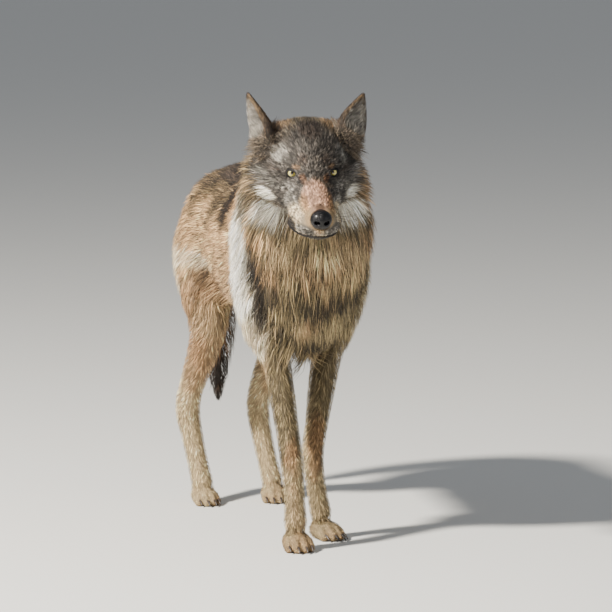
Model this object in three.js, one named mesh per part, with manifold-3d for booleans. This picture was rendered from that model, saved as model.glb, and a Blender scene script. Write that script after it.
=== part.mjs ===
// A timber wolf standing at rest, life size, in millimetres.
// It faces -Y with its left side towards +X and its paws on z = 0.
// The solids give the outline of the coat. The flesh is one smooth field, blended from
// chains of elliptical stations, which is meshed piece by piece and parted by plane cuts.
import * as THREE from 'three';
import { mergeVertices } from 'three/addons/utils/BufferGeometryUtils.js';
import Module from 'manifold-3d';

const wasm = await Module();
wasm.setup();

// ---------------------------------------------------------------- driving dimensions
const CENTRE = { x: 20, y: 87 };    // shift that sets the origin midway under the whole animal
const BACK_Z = 808;                 // axis heights below are set against the top of the back
const TRUNK_Z = BACK_Z - 176;       // middle of the barrel
const CARPUS_Z = 190;               // wrist of the foreleg
const HOCK_Z = 222;                 // heel of the hind leg
const ELBOW_Z = 440;
const STIFLE_Z = 470;               // knee of the hind leg
const FORE_Y = -388;                // right fore paw; the left one stands further back
const HIND_Y = 318;                 // both hind paws
const HEAD = { x: -74, y: -580, z: 832 };   // midpoint between the eyes
const HEAD_TURN = { yaw: 7, pitch: -16, roll: 1 };   // degrees: to its right, nose down, tilt
const EYE = { side: 43, forward: -7, up: 0, radius: 12.5 };
const NOSE = { forward: 130, up: -55, width: 46, height: 42, depth: 30 };
const EAR_BASE = { side: 89, forward: -104, up: 44 };
const EAR_WALL = 5;
const PAD_SINK = 3.5;               // how far the round pads are flattened by the ground
const CLAW = { length: 19, radius: 3.6 };
const GAP = 0.3;                    // clearance between neighbouring pieces
const FOLD_GAP = 0.05;              // how far two touching folds of one piece are set back

// ---------------------------------------------------------------- materials
const coat = (color, roughness = 0.95) =>
  new THREE.MeshStandardMaterial({ color, roughness, metalness: 0 });
const MATERIALS = {
  back: coat(0x6f5f4c),
  flank: coat(0x9a7f60),
  ruff: coat(0xb3a284),
  face: coat(0x75695b),
  muzzle: coat(0xb08d6e),
  leg: coat(0xb98f66),
  ear: coat(0x8a6a4c),
  nose: coat(0x17161a, 0.35),
  eye: coat(0xb9a850, 0.08),
  claw: coat(0x2a2420, 0.45),
};

// ---------------------------------------------------------------- small vector helpers
const vec = (x, y, z) => new THREE.Vector3(x, y, z);
const SIDEWAYS = vec(1, 0, 0);
const LENGTHWAYS = vec(0, 1, 0);
const AXES = [SIDEWAYS, LENGTHWAYS, vec(0, 0, 1)];

function headFrame() {
  const [yaw, pitch, roll] = [HEAD_TURN.yaw, HEAD_TURN.pitch, HEAD_TURN.roll]
    .map(THREE.MathUtils.degToRad);
  const forward = vec(-Math.sin(yaw) * Math.cos(pitch), -Math.cos(yaw) * Math.cos(pitch), Math.sin(pitch));
  const level = vec(Math.cos(yaw), -Math.sin(yaw), 0);
  const upright = forward.clone().cross(level);
  const left = level.clone().multiplyScalar(Math.cos(roll)).addScaledVector(upright, Math.sin(roll));
  const up = upright.clone().multiplyScalar(Math.cos(roll)).addScaledVector(level, -Math.sin(roll));
  return { left, forward, up };
}
const HEAD_AXES = headFrame();

// A point or a direction given as left, forward and up of the head's own frame.
function headDirection(left, forward, up) {
  return vec(0, 0, 0)
    .addScaledVector(HEAD_AXES.left, left)
    .addScaledVector(HEAD_AXES.forward, forward)
    .addScaledVector(HEAD_AXES.up, up);
}
const headPoint = (left, forward, up) => headDirection(left, forward, up).add(vec(HEAD.x, HEAD.y, HEAD.z));

// ---------------------------------------------------------------- chains of stations
// A chain is a tube of elliptical section. Each station is [x, y, z, half-width along side,
// other half-width]; a curve through the stations fills in the shape between them.
const CURVE_STEPS = 3;
const REACH = 60;   // how far outside its own box a chain still bends the field
const FAR = 90;     // the field where no chain reaches

function curveThrough(stations) {
  const last = stations.length - 1;
  const made = [];
  for (let i = 0; i < last; i++) {
    const [p0, p1, p2, p3] = [i - 1, i, i + 1, i + 2].map((n) => stations[Math.min(Math.max(n, 0), last)]);
    for (let s = 0; s < CURVE_STEPS; s++) {
      const t = s / CURVE_STEPS;
      made.push(p1.map((_, n) => 0.5 * (2 * p1[n] + (p2[n] - p0[n]) * t
        + (2 * p0[n] - 5 * p1[n] + 4 * p2[n] - p3[n]) * t * t
        + (3 * p1[n] - p0[n] - 3 * p2[n] + p3[n]) * t * t * t)));
    }
  }
  made.push(stations[last]);
  return made;
}

function chain(blend, side, stations) {
  const points = curveThrough(stations);
  const segments = points.slice(1).map((b, i) => {
    const a = points[i];
    const along = vec(b[0] - a[0], b[1] - a[1], b[2] - a[2]);
    const length = along.length();
    along.normalize();
    const across = side.clone().addScaledVector(along, -side.dot(along)).normalize();
    return { a, b, length, along, across, other: along.clone().cross(across) };
  });
  const box = new THREE.Box3();
  for (const p of points) {
    const reach = Math.max(p[3], p[4]);
    box.union(new THREE.Box3(vec(p[0] - reach, p[1] - reach, p[2] - reach),
      vec(p[0] + reach, p[1] + reach, p[2] + reach)));
  }
  return { blend, segments, box, reach: box.clone().expandByScalar(REACH) };
}

const headChain = (blend, stations) => chain(blend, HEAD_AXES.left,
  stations.map(([left, forward, up, ...size]) => [...headPoint(left, forward, up).toArray(), ...size]));

// Nearly the distance from a point to a chain's surface, below zero inside it.
function distanceTo(part, x, y, z) {
  let least = Infinity;
  for (const { a, b, length, along, across, other } of part.segments) {
    const [qx, qy, qz] = [x - a[0], y - a[1], z - a[2]];
    const run = qx * along.x + qy * along.y + qz * along.z;
    const t = Math.min(Math.max(run / length, 0), 1);
    const wide = a[3] + t * (b[3] - a[3]);
    const deep = a[4] + t * (b[4] - a[4]);
    const end = Math.min(wide, deep);
    const past = run - t * length;
    const u = qx * across.x + qy * across.y + qz * across.z;
    const v = qx * other.x + qy * other.y + qz * other.z;
    const k0 = Math.hypot(u / wide, v / deep, past / end);
    const k1 = Math.hypot(u / wide ** 2, v / deep ** 2, past / end ** 2);
    least = Math.min(least, k1 > 1e-9 ? k0 * (k0 - 1) / k1 : -end);
  }
  return least;
}

function smoothMin(a, b, blend) {
  const h = Math.max(blend - Math.abs(a - b), 0) / blend;
  return Math.min(a, b) - h * h * blend * 0.25;
}

// ---------------------------------------------------------------- the animal's chains
const SIDES = [{ name: 'right', s: -1 }, { name: 'left', s: 1 }];
// The weight is on the right foreleg, so its shoulder stands further out.
const SHOULDER_OUT = { right: 14, left: 0 };

function trunkChains() {
  const parts = [
    chain(40, SIDEWAYS, [
      [-16, -335, TRUNK_Z - 42, 88, 110],
      [-14, -270, TRUNK_Z - 27, 120, 165],
      [-10, -190, TRUNK_Z - 12, 138, 196],
      [-6, -90, TRUNK_Z, 146, 188],
      [-2, 20, TRUNK_Z, 148, 181],
      [-4, 130, TRUNK_Z + 13, 142, 168],
      [-6, 220, TRUNK_Z + 30, 134, 148],
      [-6, 300, TRUNK_Z + 42, 118, 118],
      [-8, 362, TRUNK_Z + 38, 84, 86],
    ]),
    chain(50, SIDEWAYS, [
      [-8, -215, BACK_Z - 66, 66, 84],
      [-6, -120, BACK_Z - 56, 70, 74],
    ]),
  ];
  for (const { name, s } of SIDES) {
    const out = SHOULDER_OUT[name];
    parts.push(chain(38, LENGTHWAYS, [
      [s * (76 + 0.6 * out) - 10, -215, 735, 75, 50],
      [s * (92 + out) - 12, -290, 605, 76, 56 + 0.5 * out],
      [s * (88 + 1.2 * out) - 12, -285, 525, 70, 50 + 0.4 * out],
      [s * (70 + out) - 14, -268, ELBOW_Z + 12, 52, 40 + 0.2 * out],
    ]));
    parts.push(chain(38, LENGTHWAYS, [
      [s * 66 - 6, 255, 705, 92, 66],
      [s * 100 - 6, 272, 605, 104, 68],
      [s * 102 - 6, 222, STIFLE_Z + 30, 92, 56],
    ]));
  }
  return parts;
}

function neckChains() {
  return [
    chain(45, SIDEWAYS, [
      [-10, -190, 680, 126, 148],
      [-24, -275, 705, 140, 150],
      [-42, -350, 745, 140, 138],
      [-54, -405, 785, 128, 118],
      [-60, -440, 815, 106, 96],
    ]),
    chain(40, SIDEWAYS, [
      [-38, -440, 760, 144, 86],
      [-36, -418, 690, 154, 106],
      [-28, -392, 600, 126, 92],
      [-20, -366, 515, 94, 70],
      [-18, -338, 468, 62, 56],
    ]),
  ];
}

function legChains() {
  return [
    chain(24, SIDEWAYS, [
      [-90, FORE_Y + 98, 520, 48, 62],
      [-84, FORE_Y + 92, ELBOW_Z, 35, 54],
      [-76, FORE_Y + 63, 350, 31, 42],
      [-70, FORE_Y + 30, 260, 27, 32],
      [-66, FORE_Y + 8, CARPUS_Z, 27, 30],
      [-62, FORE_Y + 2, 120, 24, 27],
      [-60, FORE_Y, 60, 27, 30],
    ]),
    chain(24, SIDEWAYS, [
      [64, FORE_Y + 116, 520, 48, 62],
      [48, FORE_Y + 118, ELBOW_Z, 36, 54],
      [34, FORE_Y + 122, 350, 33, 42],
      [22, FORE_Y + 124, 260, 27, 32],
      [13, FORE_Y + 126, CARPUS_Z, 26, 30],
      [22, FORE_Y + 130, 120, 23, 27],
      [34, FORE_Y + 136, 60, 26, 30],
    ]),
    chain(24, SIDEWAYS, [
      [-104, HIND_Y - 68, 560, 58, 98],
      [-102, HIND_Y - 113, STIFLE_Z, 50, 78],
      [-104, HIND_Y - 56, 375, 38, 54],
      [-112, HIND_Y + 20, 285, 30, 42],
      [-116, HIND_Y + 54, HOCK_Z, 30, 40],
      [-108, HIND_Y + 46, 160, 27, 32],
      [-98, HIND_Y + 24, 90, 26, 28],
      [-93, HIND_Y + 7, 50, 28, 29],
    ]),
    chain(24, SIDEWAYS, [
      [84, HIND_Y - 68, 560, 58, 98],
      [80, HIND_Y - 113, STIFLE_Z, 50, 78],
      [70, HIND_Y - 56, 375, 36, 54],
      [58, HIND_Y + 20, 285, 29, 42],
      [54, HIND_Y + 54, HOCK_Z, 28, 40],
      [60, HIND_Y + 46, 160, 26, 32],
      [70, HIND_Y + 24, 90, 25, 28],
      [76, HIND_Y + 7, 50, 27, 29],
    ]),
  ];
}

// Each paw has four toes set in an arc, on a pad that lies flat on the ground.
const PAWS = [
  { name: 'right_fore', x: -60, y: FORE_Y - 4, turn: 0, width: 0.95, length: 1 },
  { name: 'left_fore', x: 42, y: FORE_Y + 134, turn: 22, width: 0.95, length: 1 },
  { name: 'right_hind', x: -92, y: HIND_Y, turn: 8, width: 0.88, length: 0.95 },
  { name: 'left_hind', x: 77, y: HIND_Y, turn: -4, width: 0.88, length: 0.95 },
];
const TOES = [
  { across: -25, ahead: 22 },
  { across: -9, ahead: 36 },
  { across: 9, ahead: 36 },
  { across: 25, ahead: 22 },
];

function pawFrame(paw) {
  const turn = THREE.MathUtils.degToRad(paw.turn);
  const ahead = vec(Math.sin(turn), -Math.cos(turn), 0);
  const across = vec(Math.cos(turn), Math.sin(turn), 0);
  const at = (a, f, z) => vec(paw.x, paw.y, z - PAD_SINK)
    .addScaledVector(across, a * paw.width)
    .addScaledVector(ahead, f * paw.length);
  return { ahead, across, at };
}

function pawChains(paw) {
  const { across, at } = pawFrame(paw);
  const parts = [chain(10, across, [
    [...at(0, -14, 24).toArray(), 30 * paw.width, 26],
    [...at(0, 14, 24).toArray(), 33 * paw.width, 22],
  ])];
  for (const toe of TOES) {
    parts.push(chain(7, across, [
      [...at(toe.across * 0.8, toe.ahead - 26, 26).toArray(), 11, 15],
      [...at(toe.across, toe.ahead - 4, 20).toArray(), 11.5, 15],
      [...at(toe.across * 1.05, toe.ahead + 10, 12).toArray(), 9.5, 11],
    ]));
  }
  return parts;
}

function tailChain() {
  return chain(30, SIDEWAYS, [
    [-8, 372, 700, 44, 44],
    [-8, 425, 655, 42, 42],
    [-10, 465, 570, 50, 48],
    [-14, 480, 460, 54, 52],
    [-18, 472, 360, 44, 44],
    [-20, 464, 280, 26, 26],
    [-20, 460, 232, 8, 8],
  ]);
}

function headChains() {
  const parts = [
    headChain(20, [[0, -185, -12, 72, 66], [0, -140, 8, 74, 66], [0, -95, 14, 80, 70],
      [0, -50, 12, 72, 62], [0, -14, 2, 52, 44]]),
    headChain(12, [[0, -16, -20, 46, 42], [0, 28, -38, 41, 38], [0, 70, -52, 38, 34],
      [0, 104, -60, 35, 30], [0, 120, -62, 28, 24]]),
    headChain(10, [[0, -60, -64, 50, 38], [0, 0, -86, 38, 28], [0, 50, -98, 30, 17],
      [0, 90, -99, 25, 14], [0, 108, -95, 19, 11]]),
  ];
  for (const { s } of SIDES) {
    parts.push(headChain(12, [[s * 37, 26, -83, 17, 19], [s * 35, 60, -79, 18, 20],
      [s * 25, 96, -78, 16, 20], [s * 9, 118, -76, 15, 18]]));
    parts.push(headChain(16, [[s * 36, -2, -26, 20, 20], [s * 60, -40, -18, 24, 28],
      [s * 72, -80, -10, 30, 40]]));
    parts.push(headChain(26, [[s * 74, -78, -36, 34, 50], [s * 96, -112, -52, 42, 60],
      [s * 98, -150, -70, 50, 70]]));
    parts.push(headChain(18, [[s * 84, -108, 6, 36, 34], [s * 86, -104, 50, 36, 26]]));
    parts.push(headChain(10, [[s * 22, -8, 18, 14, 11], [s * 42, -18, 22, 14, 11],
      [s * 60, -38, 20, 14, 12]]));
  }
  return parts;
}

const FLESH = [...trunkChains(), ...neckChains(), ...legChains(), ...PAWS.flatMap(pawChains),
  tailChain(), ...headChains()];

// ---------------------------------------------------------------- meshing a field
// The field of the flesh at one point, below zero inside the chains.
function fieldAt(point, chains) {
  const near = chains.filter((part) => part.reach.containsPoint(point));
  return near.reduce((field, part) =>
    smoothMin(field, distanceTo(part, point.x, point.y, point.z), part.blend), FAR);
}

// The same field on a grid: each chain is only measured near itself.
function fieldOn(axes, chains) {
  const [nx, ny, nz] = axes.map((a) => a.length);
  const field = new Float32Array(nx * ny * nz).fill(FAR);
  for (const part of chains) {
    const [low, high] = [part.reach.min.toArray(), part.reach.max.toArray()];
    const spans = axes.map((a, n) => [a.findIndex((v) => v >= low[n]), a.findLastIndex((v) => v <= high[n])]);
    if (spans.some(([first, last]) => first < 0 || last < 0)) continue;
    for (let i = spans[0][0]; i <= spans[0][1]; i++)
      for (let j = spans[1][0]; j <= spans[1][1]; j++)
        for (let k = spans[2][0]; k <= spans[2][1]; k++) {
          const at = (i * ny + j) * nz + k;
          const d = distanceTo(part, axes[0][i], axes[1][j], axes[2][k]);
          field[at] = smoothMin(field[at], d, part.blend);
        }
  }
  return field.map((value, at) => {
    const [i, j, k] = [Math.floor(at / (ny * nz)), Math.floor(at / nz) % ny, at % nz];
    const rim = i === 0 || j === 0 || k === 0 || i === nx - 1 || j === ny - 1 || k === nz - 1;
    return rim ? 1 : value;
  });
}

const gridLine = (from, to, step) =>
  Array.from({ length: Math.ceil((to - from) / step) + 2 }, (_, i) => from + (i - 0.5) * step);
const gridAxes = (box, step) => ['x', 'y', 'z'].map((n, at) => gridLine(box.min[n], box.max[n], step[at]));

// Surface nets: one vertex in each cell that the surface crosses, one quad round each crossed edge.
function netOf(axes, field) {
  const [nx, ny, nz] = axes.map((a) => a.length);
  const at = (i, j, k) => (i * ny + j) * nz + k;
  const corners = [0, 1, 2, 3, 4, 5, 6, 7].map((n) => [n & 1, (n >> 1) & 1, (n >> 2) & 1]);
  const cellVertex = new Map();
  const positions = [];
  for (let i = 0; i < nx - 1; i++)
    for (let j = 0; j < ny - 1; j++)
      for (let k = 0; k < nz - 1; k++) {
        const values = corners.map(([a, b, c]) => field[at(i + a, j + b, k + c)]);
        const inside = values.filter((v) => v < 0).length;
        if (inside === 0 || inside === 8) continue;
        const sum = [0, 0, 0];
        let crossings = 0;
        corners.forEach((c, n) => {
          for (let axis = 0; axis < 3; axis++) {
            const m = n | (1 << axis);
            if (m === n || (values[n] < 0) === (values[m] < 0)) continue;
            const t = values[n] / (values[n] - values[m]);
            const cell = [i + c[0], j + c[1], k + c[2]];
            for (let d = 0; d < 3; d++) {
              const start = axes[d][cell[d]];
              sum[d] += d === axis ? start + t * (axes[d][cell[d] + 1] - start) : start;
            }
            crossings++;
          }
        });
        cellVertex.set(at(i, j, k), positions.length / 3);
        positions.push(...sum.map((v) => v / crossings));
      }
  const index = [];
  const quad = (a, b, c, d, turned) => {
    const [p, q, r, s] = turned ? [d, c, b, a] : [a, b, c, d];
    index.push(p, q, r, p, r, s);
  };
  for (let i = 0; i < nx - 1; i++)
    for (let j = 0; j < ny - 1; j++)
      for (let k = 0; k < nz - 1; k++) {
        const here = field[at(i, j, k)] < 0;
        const crossed = (a, b, c) => here !== field[at(i + a, j + b, k + c)] < 0;
        const v = (a, b, c) => cellVertex.get(at(i - a, j - b, k - c));
        if (j && k && crossed(1, 0, 0)) quad(v(0, 1, 1), v(0, 0, 1), v(0, 0, 0), v(0, 1, 0), !here);
        if (i && k && crossed(0, 1, 0)) quad(v(1, 0, 1), v(1, 0, 0), v(0, 0, 0), v(0, 0, 1), !here);
        if (i && j && crossed(0, 0, 1)) quad(v(1, 1, 0), v(0, 1, 0), v(0, 0, 0), v(1, 0, 0), !here);
      }
  return new THREE.BufferGeometry()
    .setAttribute('position', new THREE.Float32BufferAttribute(positions, 3))
    .setIndex(index);
}

// ---------------------------------------------------------------- solids
function solidOf(geometry) {
  const bare = new THREE.BufferGeometry().setAttribute('position', geometry.getAttribute('position'));
  if (geometry.index) bare.setIndex(geometry.index);
  const merged = mergeVertices(bare, 1e-3);
  const solid = new wasm.Manifold(new wasm.Mesh({
    numProp: 3,
    vertProperties: Float32Array.from(merged.attributes.position.array),
    triVerts: Uint32Array.from(merged.index.array),
  }));
  return solid;
}

// A solid's surface, opened slightly where two of its folds would touch along an edge.
function geometryOf(solid) {
  const mesh = solid.getMesh();
  const surface = new THREE.BufferGeometry()
    .setAttribute('position', new THREE.BufferAttribute(Float32Array.from(mesh.vertProperties), 3))
    .setIndex(new THREE.BufferAttribute(Uint32Array.from(mesh.triVerts), 1));
  surface.computeVertexNormals();
  const { position, normal } = surface.attributes;
  const keys = Array.from({ length: position.count }, (_, i) =>
    [position.getX(i), position.getY(i), position.getZ(i)].map((v) => v.toFixed(2)).join());
  const repeats = keys.filter((key, i) => keys.indexOf(key) !== i);
  keys.forEach((key, i) => {
    if (!repeats.includes(key)) return;
    const inward = vec(0, 0, 0).fromBufferAttribute(normal, i).multiplyScalar(-FOLD_GAP);
    position.setXYZ(i, position.getX(i) + inward.x, position.getY(i) + inward.y, position.getZ(i) + inward.z);
  });
  return surface;
}

const largest = (solid) => solid.decompose().sort((a, b) => b.volume() - a.volume())[0];

// Moves the vertices of a coarse net onto the true surface, and then out by a clearance.
// What lies deeper than the net's own error is the wall where the grid ends, and stays.
function settle(geometry, chains, furthest, clearance) {
  const vertices = geometry.getAttribute('position');
  const point = vec(0, 0, 0);
  const probe = (axis, by) => fieldAt(point.clone().addScaledVector(axis, by), chains);
  for (let i = 0; i < vertices.count; i++) {
    point.fromBufferAttribute(vertices, i);
    for (const level of [0, 0, clearance]) {
      const depth = fieldAt(point, chains);
      if (Math.abs(depth) > furthest) break;
      const slope = vec(...AXES.map((axis) => probe(axis, 0.5) - probe(axis, -0.5)));
      point.addScaledVector(slope, (level - depth) / Math.max(slope.lengthSq(), 0.2));
    }
    vertices.setXYZ(i, point.x, point.y, point.z);
  }
  return geometry;
}

function meshed(axes, chains = FLESH, clearance = 0) {
  const widest = Math.max(...axes.map((a) => a[1] - a[0]));
  const net = netOf(axes, fieldOn(axes, chains));
  return solidOf(settle(net, chains, 0.3 * widest, clearance));
}
const fleshSolid = (box, step, chains) => meshed(gridAxes(box, step), chains);

// A plane keeps the side that its normal points away from. A region is all that its planes keep.
const plane = (point, normal) => ({ point, normal: normal.clone().normalize() });
const flip = ({ point, normal }) => ({ point, normal: normal.clone().negate() });

function trimmed(solid, planes, spare) {
  return planes.reduce((left, { point, normal }) => {
    const offset = -(normal.dot(point) - spare);
    return left.trimByPlane(normal.clone().negate().toArray(), offset);
  }, solid);
}

const WORLD = solidOf(new THREE.BoxGeometry(3000, 3000, 3000));
const regionSolid = (planes) => trimmed(WORLD, planes, -GAP / 2);
const box3 = (x0, x1, y0, y1, z0, z1) => new THREE.Box3(vec(x0, y0, z0), vec(x1, y1, z1));

// ---------------------------------------------------------------- where the body is parted
const GROUND = plane(vec(0, 0, 0), vec(0, 0, -1));
const NECK_BASE = plane(vec(0, -300, 680), vec(0, -0.85, 0.53));
const CHEST_END = plane(vec(0, -70, 0), vec(0, 1, 0));
const LOIN_END = plane(vec(0, 165, 0), vec(0, 1, 0));
const TAIL_ROOT = plane(vec(0, 398, 0), vec(0, 1, 0));
const TAIL_CUTS = [570, 400].map((z) => plane(vec(0, 0, z), vec(0, 0, 1)));
const HEAD_BACK = plane(headPoint(0, -138, 0), headDirection(0, -0.96, -0.28));
const THROAT = plane(headPoint(0, 115, -120), headDirection(0, 0.1, -1));
const MOUTH = plane(headPoint(0, 118, -90), headDirection(0, 0.05, 1));
const JAW_BACK = plane(headPoint(0, 8, 0), headDirection(0, -1, 0.15));

const FORELEG_TOP = plane(vec(0, 0, ELBOW_Z + 4), vec(0, 0, 1));
const ELBOW_BACK = plane(vec(0, -192, 0), vec(0, 1, 0));
const FORELEG_INSIDE = {
  right: plane(vec(-44, 0, ELBOW_Z), vec(1, 0, 0)),
  left: plane(vec(5, 0, ELBOW_Z), vec(-1, 0, 0.09)),
};
const CARPUS_CUT = plane(vec(0, 0, CARPUS_Z - 18), vec(0, 0, 1));
const HIP = plane(vec(0, 180, 570), vec(0, -0.62, 0.78));
const FLANK = plane(vec(0, 114, 0), vec(0, -1, 0));
const THIGH_INSIDE = {
  right: plane(vec(-44, 0, STIFLE_Z), vec(1, 0, 0)),
  left: plane(vec(27, 0, STIFLE_Z), vec(-1, 0, 0.06)),
};
const STIFLE_CUT = plane(vec(0, HIND_Y - 83, 415), vec(0, 0.45, 0.89));
const HOCK_CUT = plane(vec(0, 0, HOCK_Z - 26), vec(0, 0, 1));

const HEAD_REGION = [HEAD_BACK, THROAT];
const JAW_REGION = [MOUTH, JAW_BACK, THROAT];
const forelegRegion = (side) => [FORELEG_TOP, ELBOW_BACK, FORELEG_INSIDE[side]];
const hindlegRegion = (side) => [HIP, FLANK, THIGH_INSIDE[side]];
const TAIL_REGION = [flip(TAIL_ROOT)];

const wolf = new THREE.Group();
wolf.name = 'timber_wolf';
const centred = new THREE.Group();
centred.position.set(CENTRE.x, CENTRE.y, 0);
wolf.add(centred);

function add(name, material, solid) {
  const mesh = new THREE.Mesh(geometryOf(largest(solid)), MATERIALS[material]);
  mesh.name = name;
  centred.add(mesh);
}

// ---------------------------------------------------------------- trunk and tail
const COARSE = [52, 56, 52];

function addTrunk() {
  const legs = SIDES.flatMap(({ name }) => [
    regionSolid(forelegRegion(name)), regionSolid(hindlegRegion(name))]);
  const [foreRight, hindRight, foreLeft, hindLeft] = legs;
  const chest = trimmed(fleshSolid(box3(-220, 200, -500, -40, 380, 880), COARSE),
    [NECK_BASE, CHEST_END], GAP / 2);
  add('chest', 'flank', chest.subtract(foreRight).subtract(foreLeft));
  const loin = trimmed(fleshSolid(box3(-220, 200, -120, 220, 380, 880), COARSE),
    [flip(CHEST_END), LOIN_END], GAP / 2);
  add('loin', 'flank', loin.subtract(hindRight).subtract(hindLeft));
  const rump = trimmed(fleshSolid(box3(-220, 200, 110, 480, 380, 880), COARSE),
    [flip(LOIN_END), TAIL_ROOT], GAP / 2);
  add('rump', 'back', rump.subtract(hindRight).subtract(hindLeft));
}

function addTail() {
  const whole = trimmed(
    fleshSolid(box3(-120, 100, 350, 560, 210, 800), [25, 24, 34], [tailChain(), ...trunkChains()]),
    TAIL_REGION, GAP / 2);
  add('tail_root', 'back', trimmed(whole, [flip(TAIL_CUTS[0])], GAP / 2));
  add('tail_middle', 'flank', trimmed(whole, [TAIL_CUTS[0], flip(TAIL_CUTS[1])], GAP / 2));
  add('tail_tip', 'back', trimmed(whole, [TAIL_CUTS[1]], GAP / 2));
}

// ---------------------------------------------------------------- legs
function addClaws(paw, pawGrown) {
  const { ahead, at } = pawFrame(paw);
  TOES.forEach((toe, n) => {
    const root = at(toe.across * 1.05, toe.ahead + 12, 17);
    const tip = root.clone().addScaledVector(ahead, CLAW.length).setZ(3.2);
    const bend = root.clone().lerp(tip, 0.5).setZ(13);
    const claw = hornSolid(root, bend, tip, CLAW.radius);
    add(`claw_${paw.name}_${n + 1}`, 'claw', claw.subtract(pawGrown));
  });
}

// A curved tapering horn: rings of a shrinking radius along a bend, closed to a blunt tip.
function hornSolid(root, bend, tip, radius) {
  const line = new THREE.QuadraticBezierCurve3(root, bend, tip);
  const [rings, around] = [2, 5];
  const positions = [];
  for (let r = 0; r <= rings; r++) {
    const t = r / rings;
    const centre = line.getPoint(t);
    const along = line.getTangent(t);
    const across = vec(-along.y, along.x, 0).normalize();
    const other = along.clone().cross(across);
    for (let n = 0; n < around; n++) {
      const angle = (2 * Math.PI * n) / around;
      const size = radius * (1 - 0.8 * t ** 1.5);
      positions.push(...centre.clone()
        .addScaledVector(across, Math.cos(angle) * size * 0.8)
        .addScaledVector(other, Math.sin(angle) * size).toArray());
    }
  }
  const index = [];
  for (let r = 0; r < rings; r++)
    for (let n = 0; n < around; n++) {
      const [a, b] = [r * around + n, r * around + ((n + 1) % around)];
      index.push(a, b, a + around, b, b + around, a + around);
    }
  for (let n = 1; n < around - 1; n++) {
    index.push(0, n + 1, n);
    const first = rings * around;
    index.push(first, first + n, first + n + 1);
  }
  return solidOf(new THREE.BufferGeometry()
    .setAttribute('position', new THREE.Float32BufferAttribute(positions, 3)).setIndex(index));
}

function addLegs() {
  for (const { name, s } of SIDES) {
    const [x0, x1] = s < 0 ? [-200, -20] : [-10, 180];
    const fore = trimmed(fleshSolid(box3(x0, x1, -500, -170, 140, 490), [22, 25, 44]),
      [...forelegRegion(name), flip(CARPUS_CUT)], GAP / 2);
    add(`foreleg_${name}`, 'leg', fore);
    const thigh = fleshSolid(box3(x0, x1, 60, 460, 280, 760), [31, 33, 38]);
    add(`thigh_${name}`, 'flank',
      trimmed(thigh, [...hindlegRegion(name), TAIL_ROOT, flip(STIFLE_CUT)], GAP / 2));
    const shank = fleshSolid(box3(x0, x1, 90, 440, 150, 510), [24, 28, 36]);
    add(`shank_${name}`, 'leg',
      trimmed(shank, [FLANK, THIGH_INSIDE[name], STIFLE_CUT, flip(HOCK_CUT)], GAP / 2));
  }
  for (const paw of PAWS) {
    const fore = paw.y < 0;
    const top = fore ? CARPUS_CUT : HOCK_CUT;
    const box = box3(paw.x - 75, paw.x + 60, paw.y - 75, paw.y + 110, -12, fore ? 190 : 220);
    const [xs, ys] = gridAxes(box, [13.5, 16, 12]);
    const zs = [...gridLine(-12, 44, 13.5), ...gridLine(80, box.max.z, 40)];
    const foot = trimmed(meshed([xs, ys, zs]), [top, GROUND], 0);
    const side = paw.x < 0 ? 'right' : 'left';
    const lone = trimmed(foot, [top], GAP / 2);
    add(`${fore ? 'forefoot' : 'hindfoot'}_${side}`, 'leg', lone);
    addClaws(paw, meshed([xs, ys, zs], FLESH, GAP));
  }
}

// ---------------------------------------------------------------- head
const EARS = [
  { name: 'right', s: -1, tip: [-124, -134, 136], opensAt: 72 },
  { name: 'left', s: 1, tip: [127, -146, 124], opensAt: 28 },
];

// An ear is a flattened cone from base to tip, hollowed from the side that it opens to.
function earSolid(ear) {
  const base = vec(ear.s * EAR_BASE.side, EAR_BASE.forward, EAR_BASE.up);
  const along = vec(...ear.tip).sub(base);
  const height = along.length();
  along.normalize();
  const open = THREE.MathUtils.degToRad(ear.opensAt);
  const opening = vec(ear.s * Math.sin(open), Math.cos(open), 0.15);
  opening.addScaledVector(along, -opening.dot(along)).normalize();
  const wide = along.clone().cross(opening);
  const profile = [[-0.12, 30, 22], [0.1, 36, 22], [0.3, 35, 19], [0.5, 29, 15], [0.7, 20, 10],
    [0.88, 11, 6], [1, 3.5, 3]];
  const station = (share, push, half, deep) => {
    const p = base.clone().addScaledVector(along, height * share).addScaledVector(opening, push);
    return [...headPoint(p.x, p.y, p.z).toArray(), half, deep];
  };
  const side = headDirection(wide.x, wide.y, wide.z);
  const outer = chain(12, side, profile.map(([share, half, deep]) => station(share, 0, half, deep)));
  const inner = chain(5, side, profile.slice(2, 6).map(([share, half, deep]) =>
    station(share, EAR_WALL + deep * 0.62, half - EAR_WALL * 0.6, deep)));
  const reach = outer.box.clone().expandByScalar(6);
  const step = [13.5, 13.5, 19];
  return fleshSolid(reach, step, [outer]).subtract(fleshSolid(reach, step, [inner]));
}

function noseSolid() {
  const { forward, up, width, height, depth } = NOSE;
  const pad = headChain(8, [[0, forward - depth * 0.5, up - 2, width * 0.42, height * 0.46],
    [0, forward, up, width * 0.5, height * 0.5]]);
  const box = pad.box.clone().expandByScalar(4);
  const step = [9.5, 9.5, 9.5];
  const nostrils = SIDES.map(({ s }) => fleshSolid(box, step, [headChain(4, [
    [s * 9, forward + depth * 0.75, up - 2, 5, 5.5], [s * 10, forward + 6, up, 4.5, 5]])]));
  return nostrils.reduce((left, hole) => left.subtract(hole), fleshSolid(box, step, [pad]));
}

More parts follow.
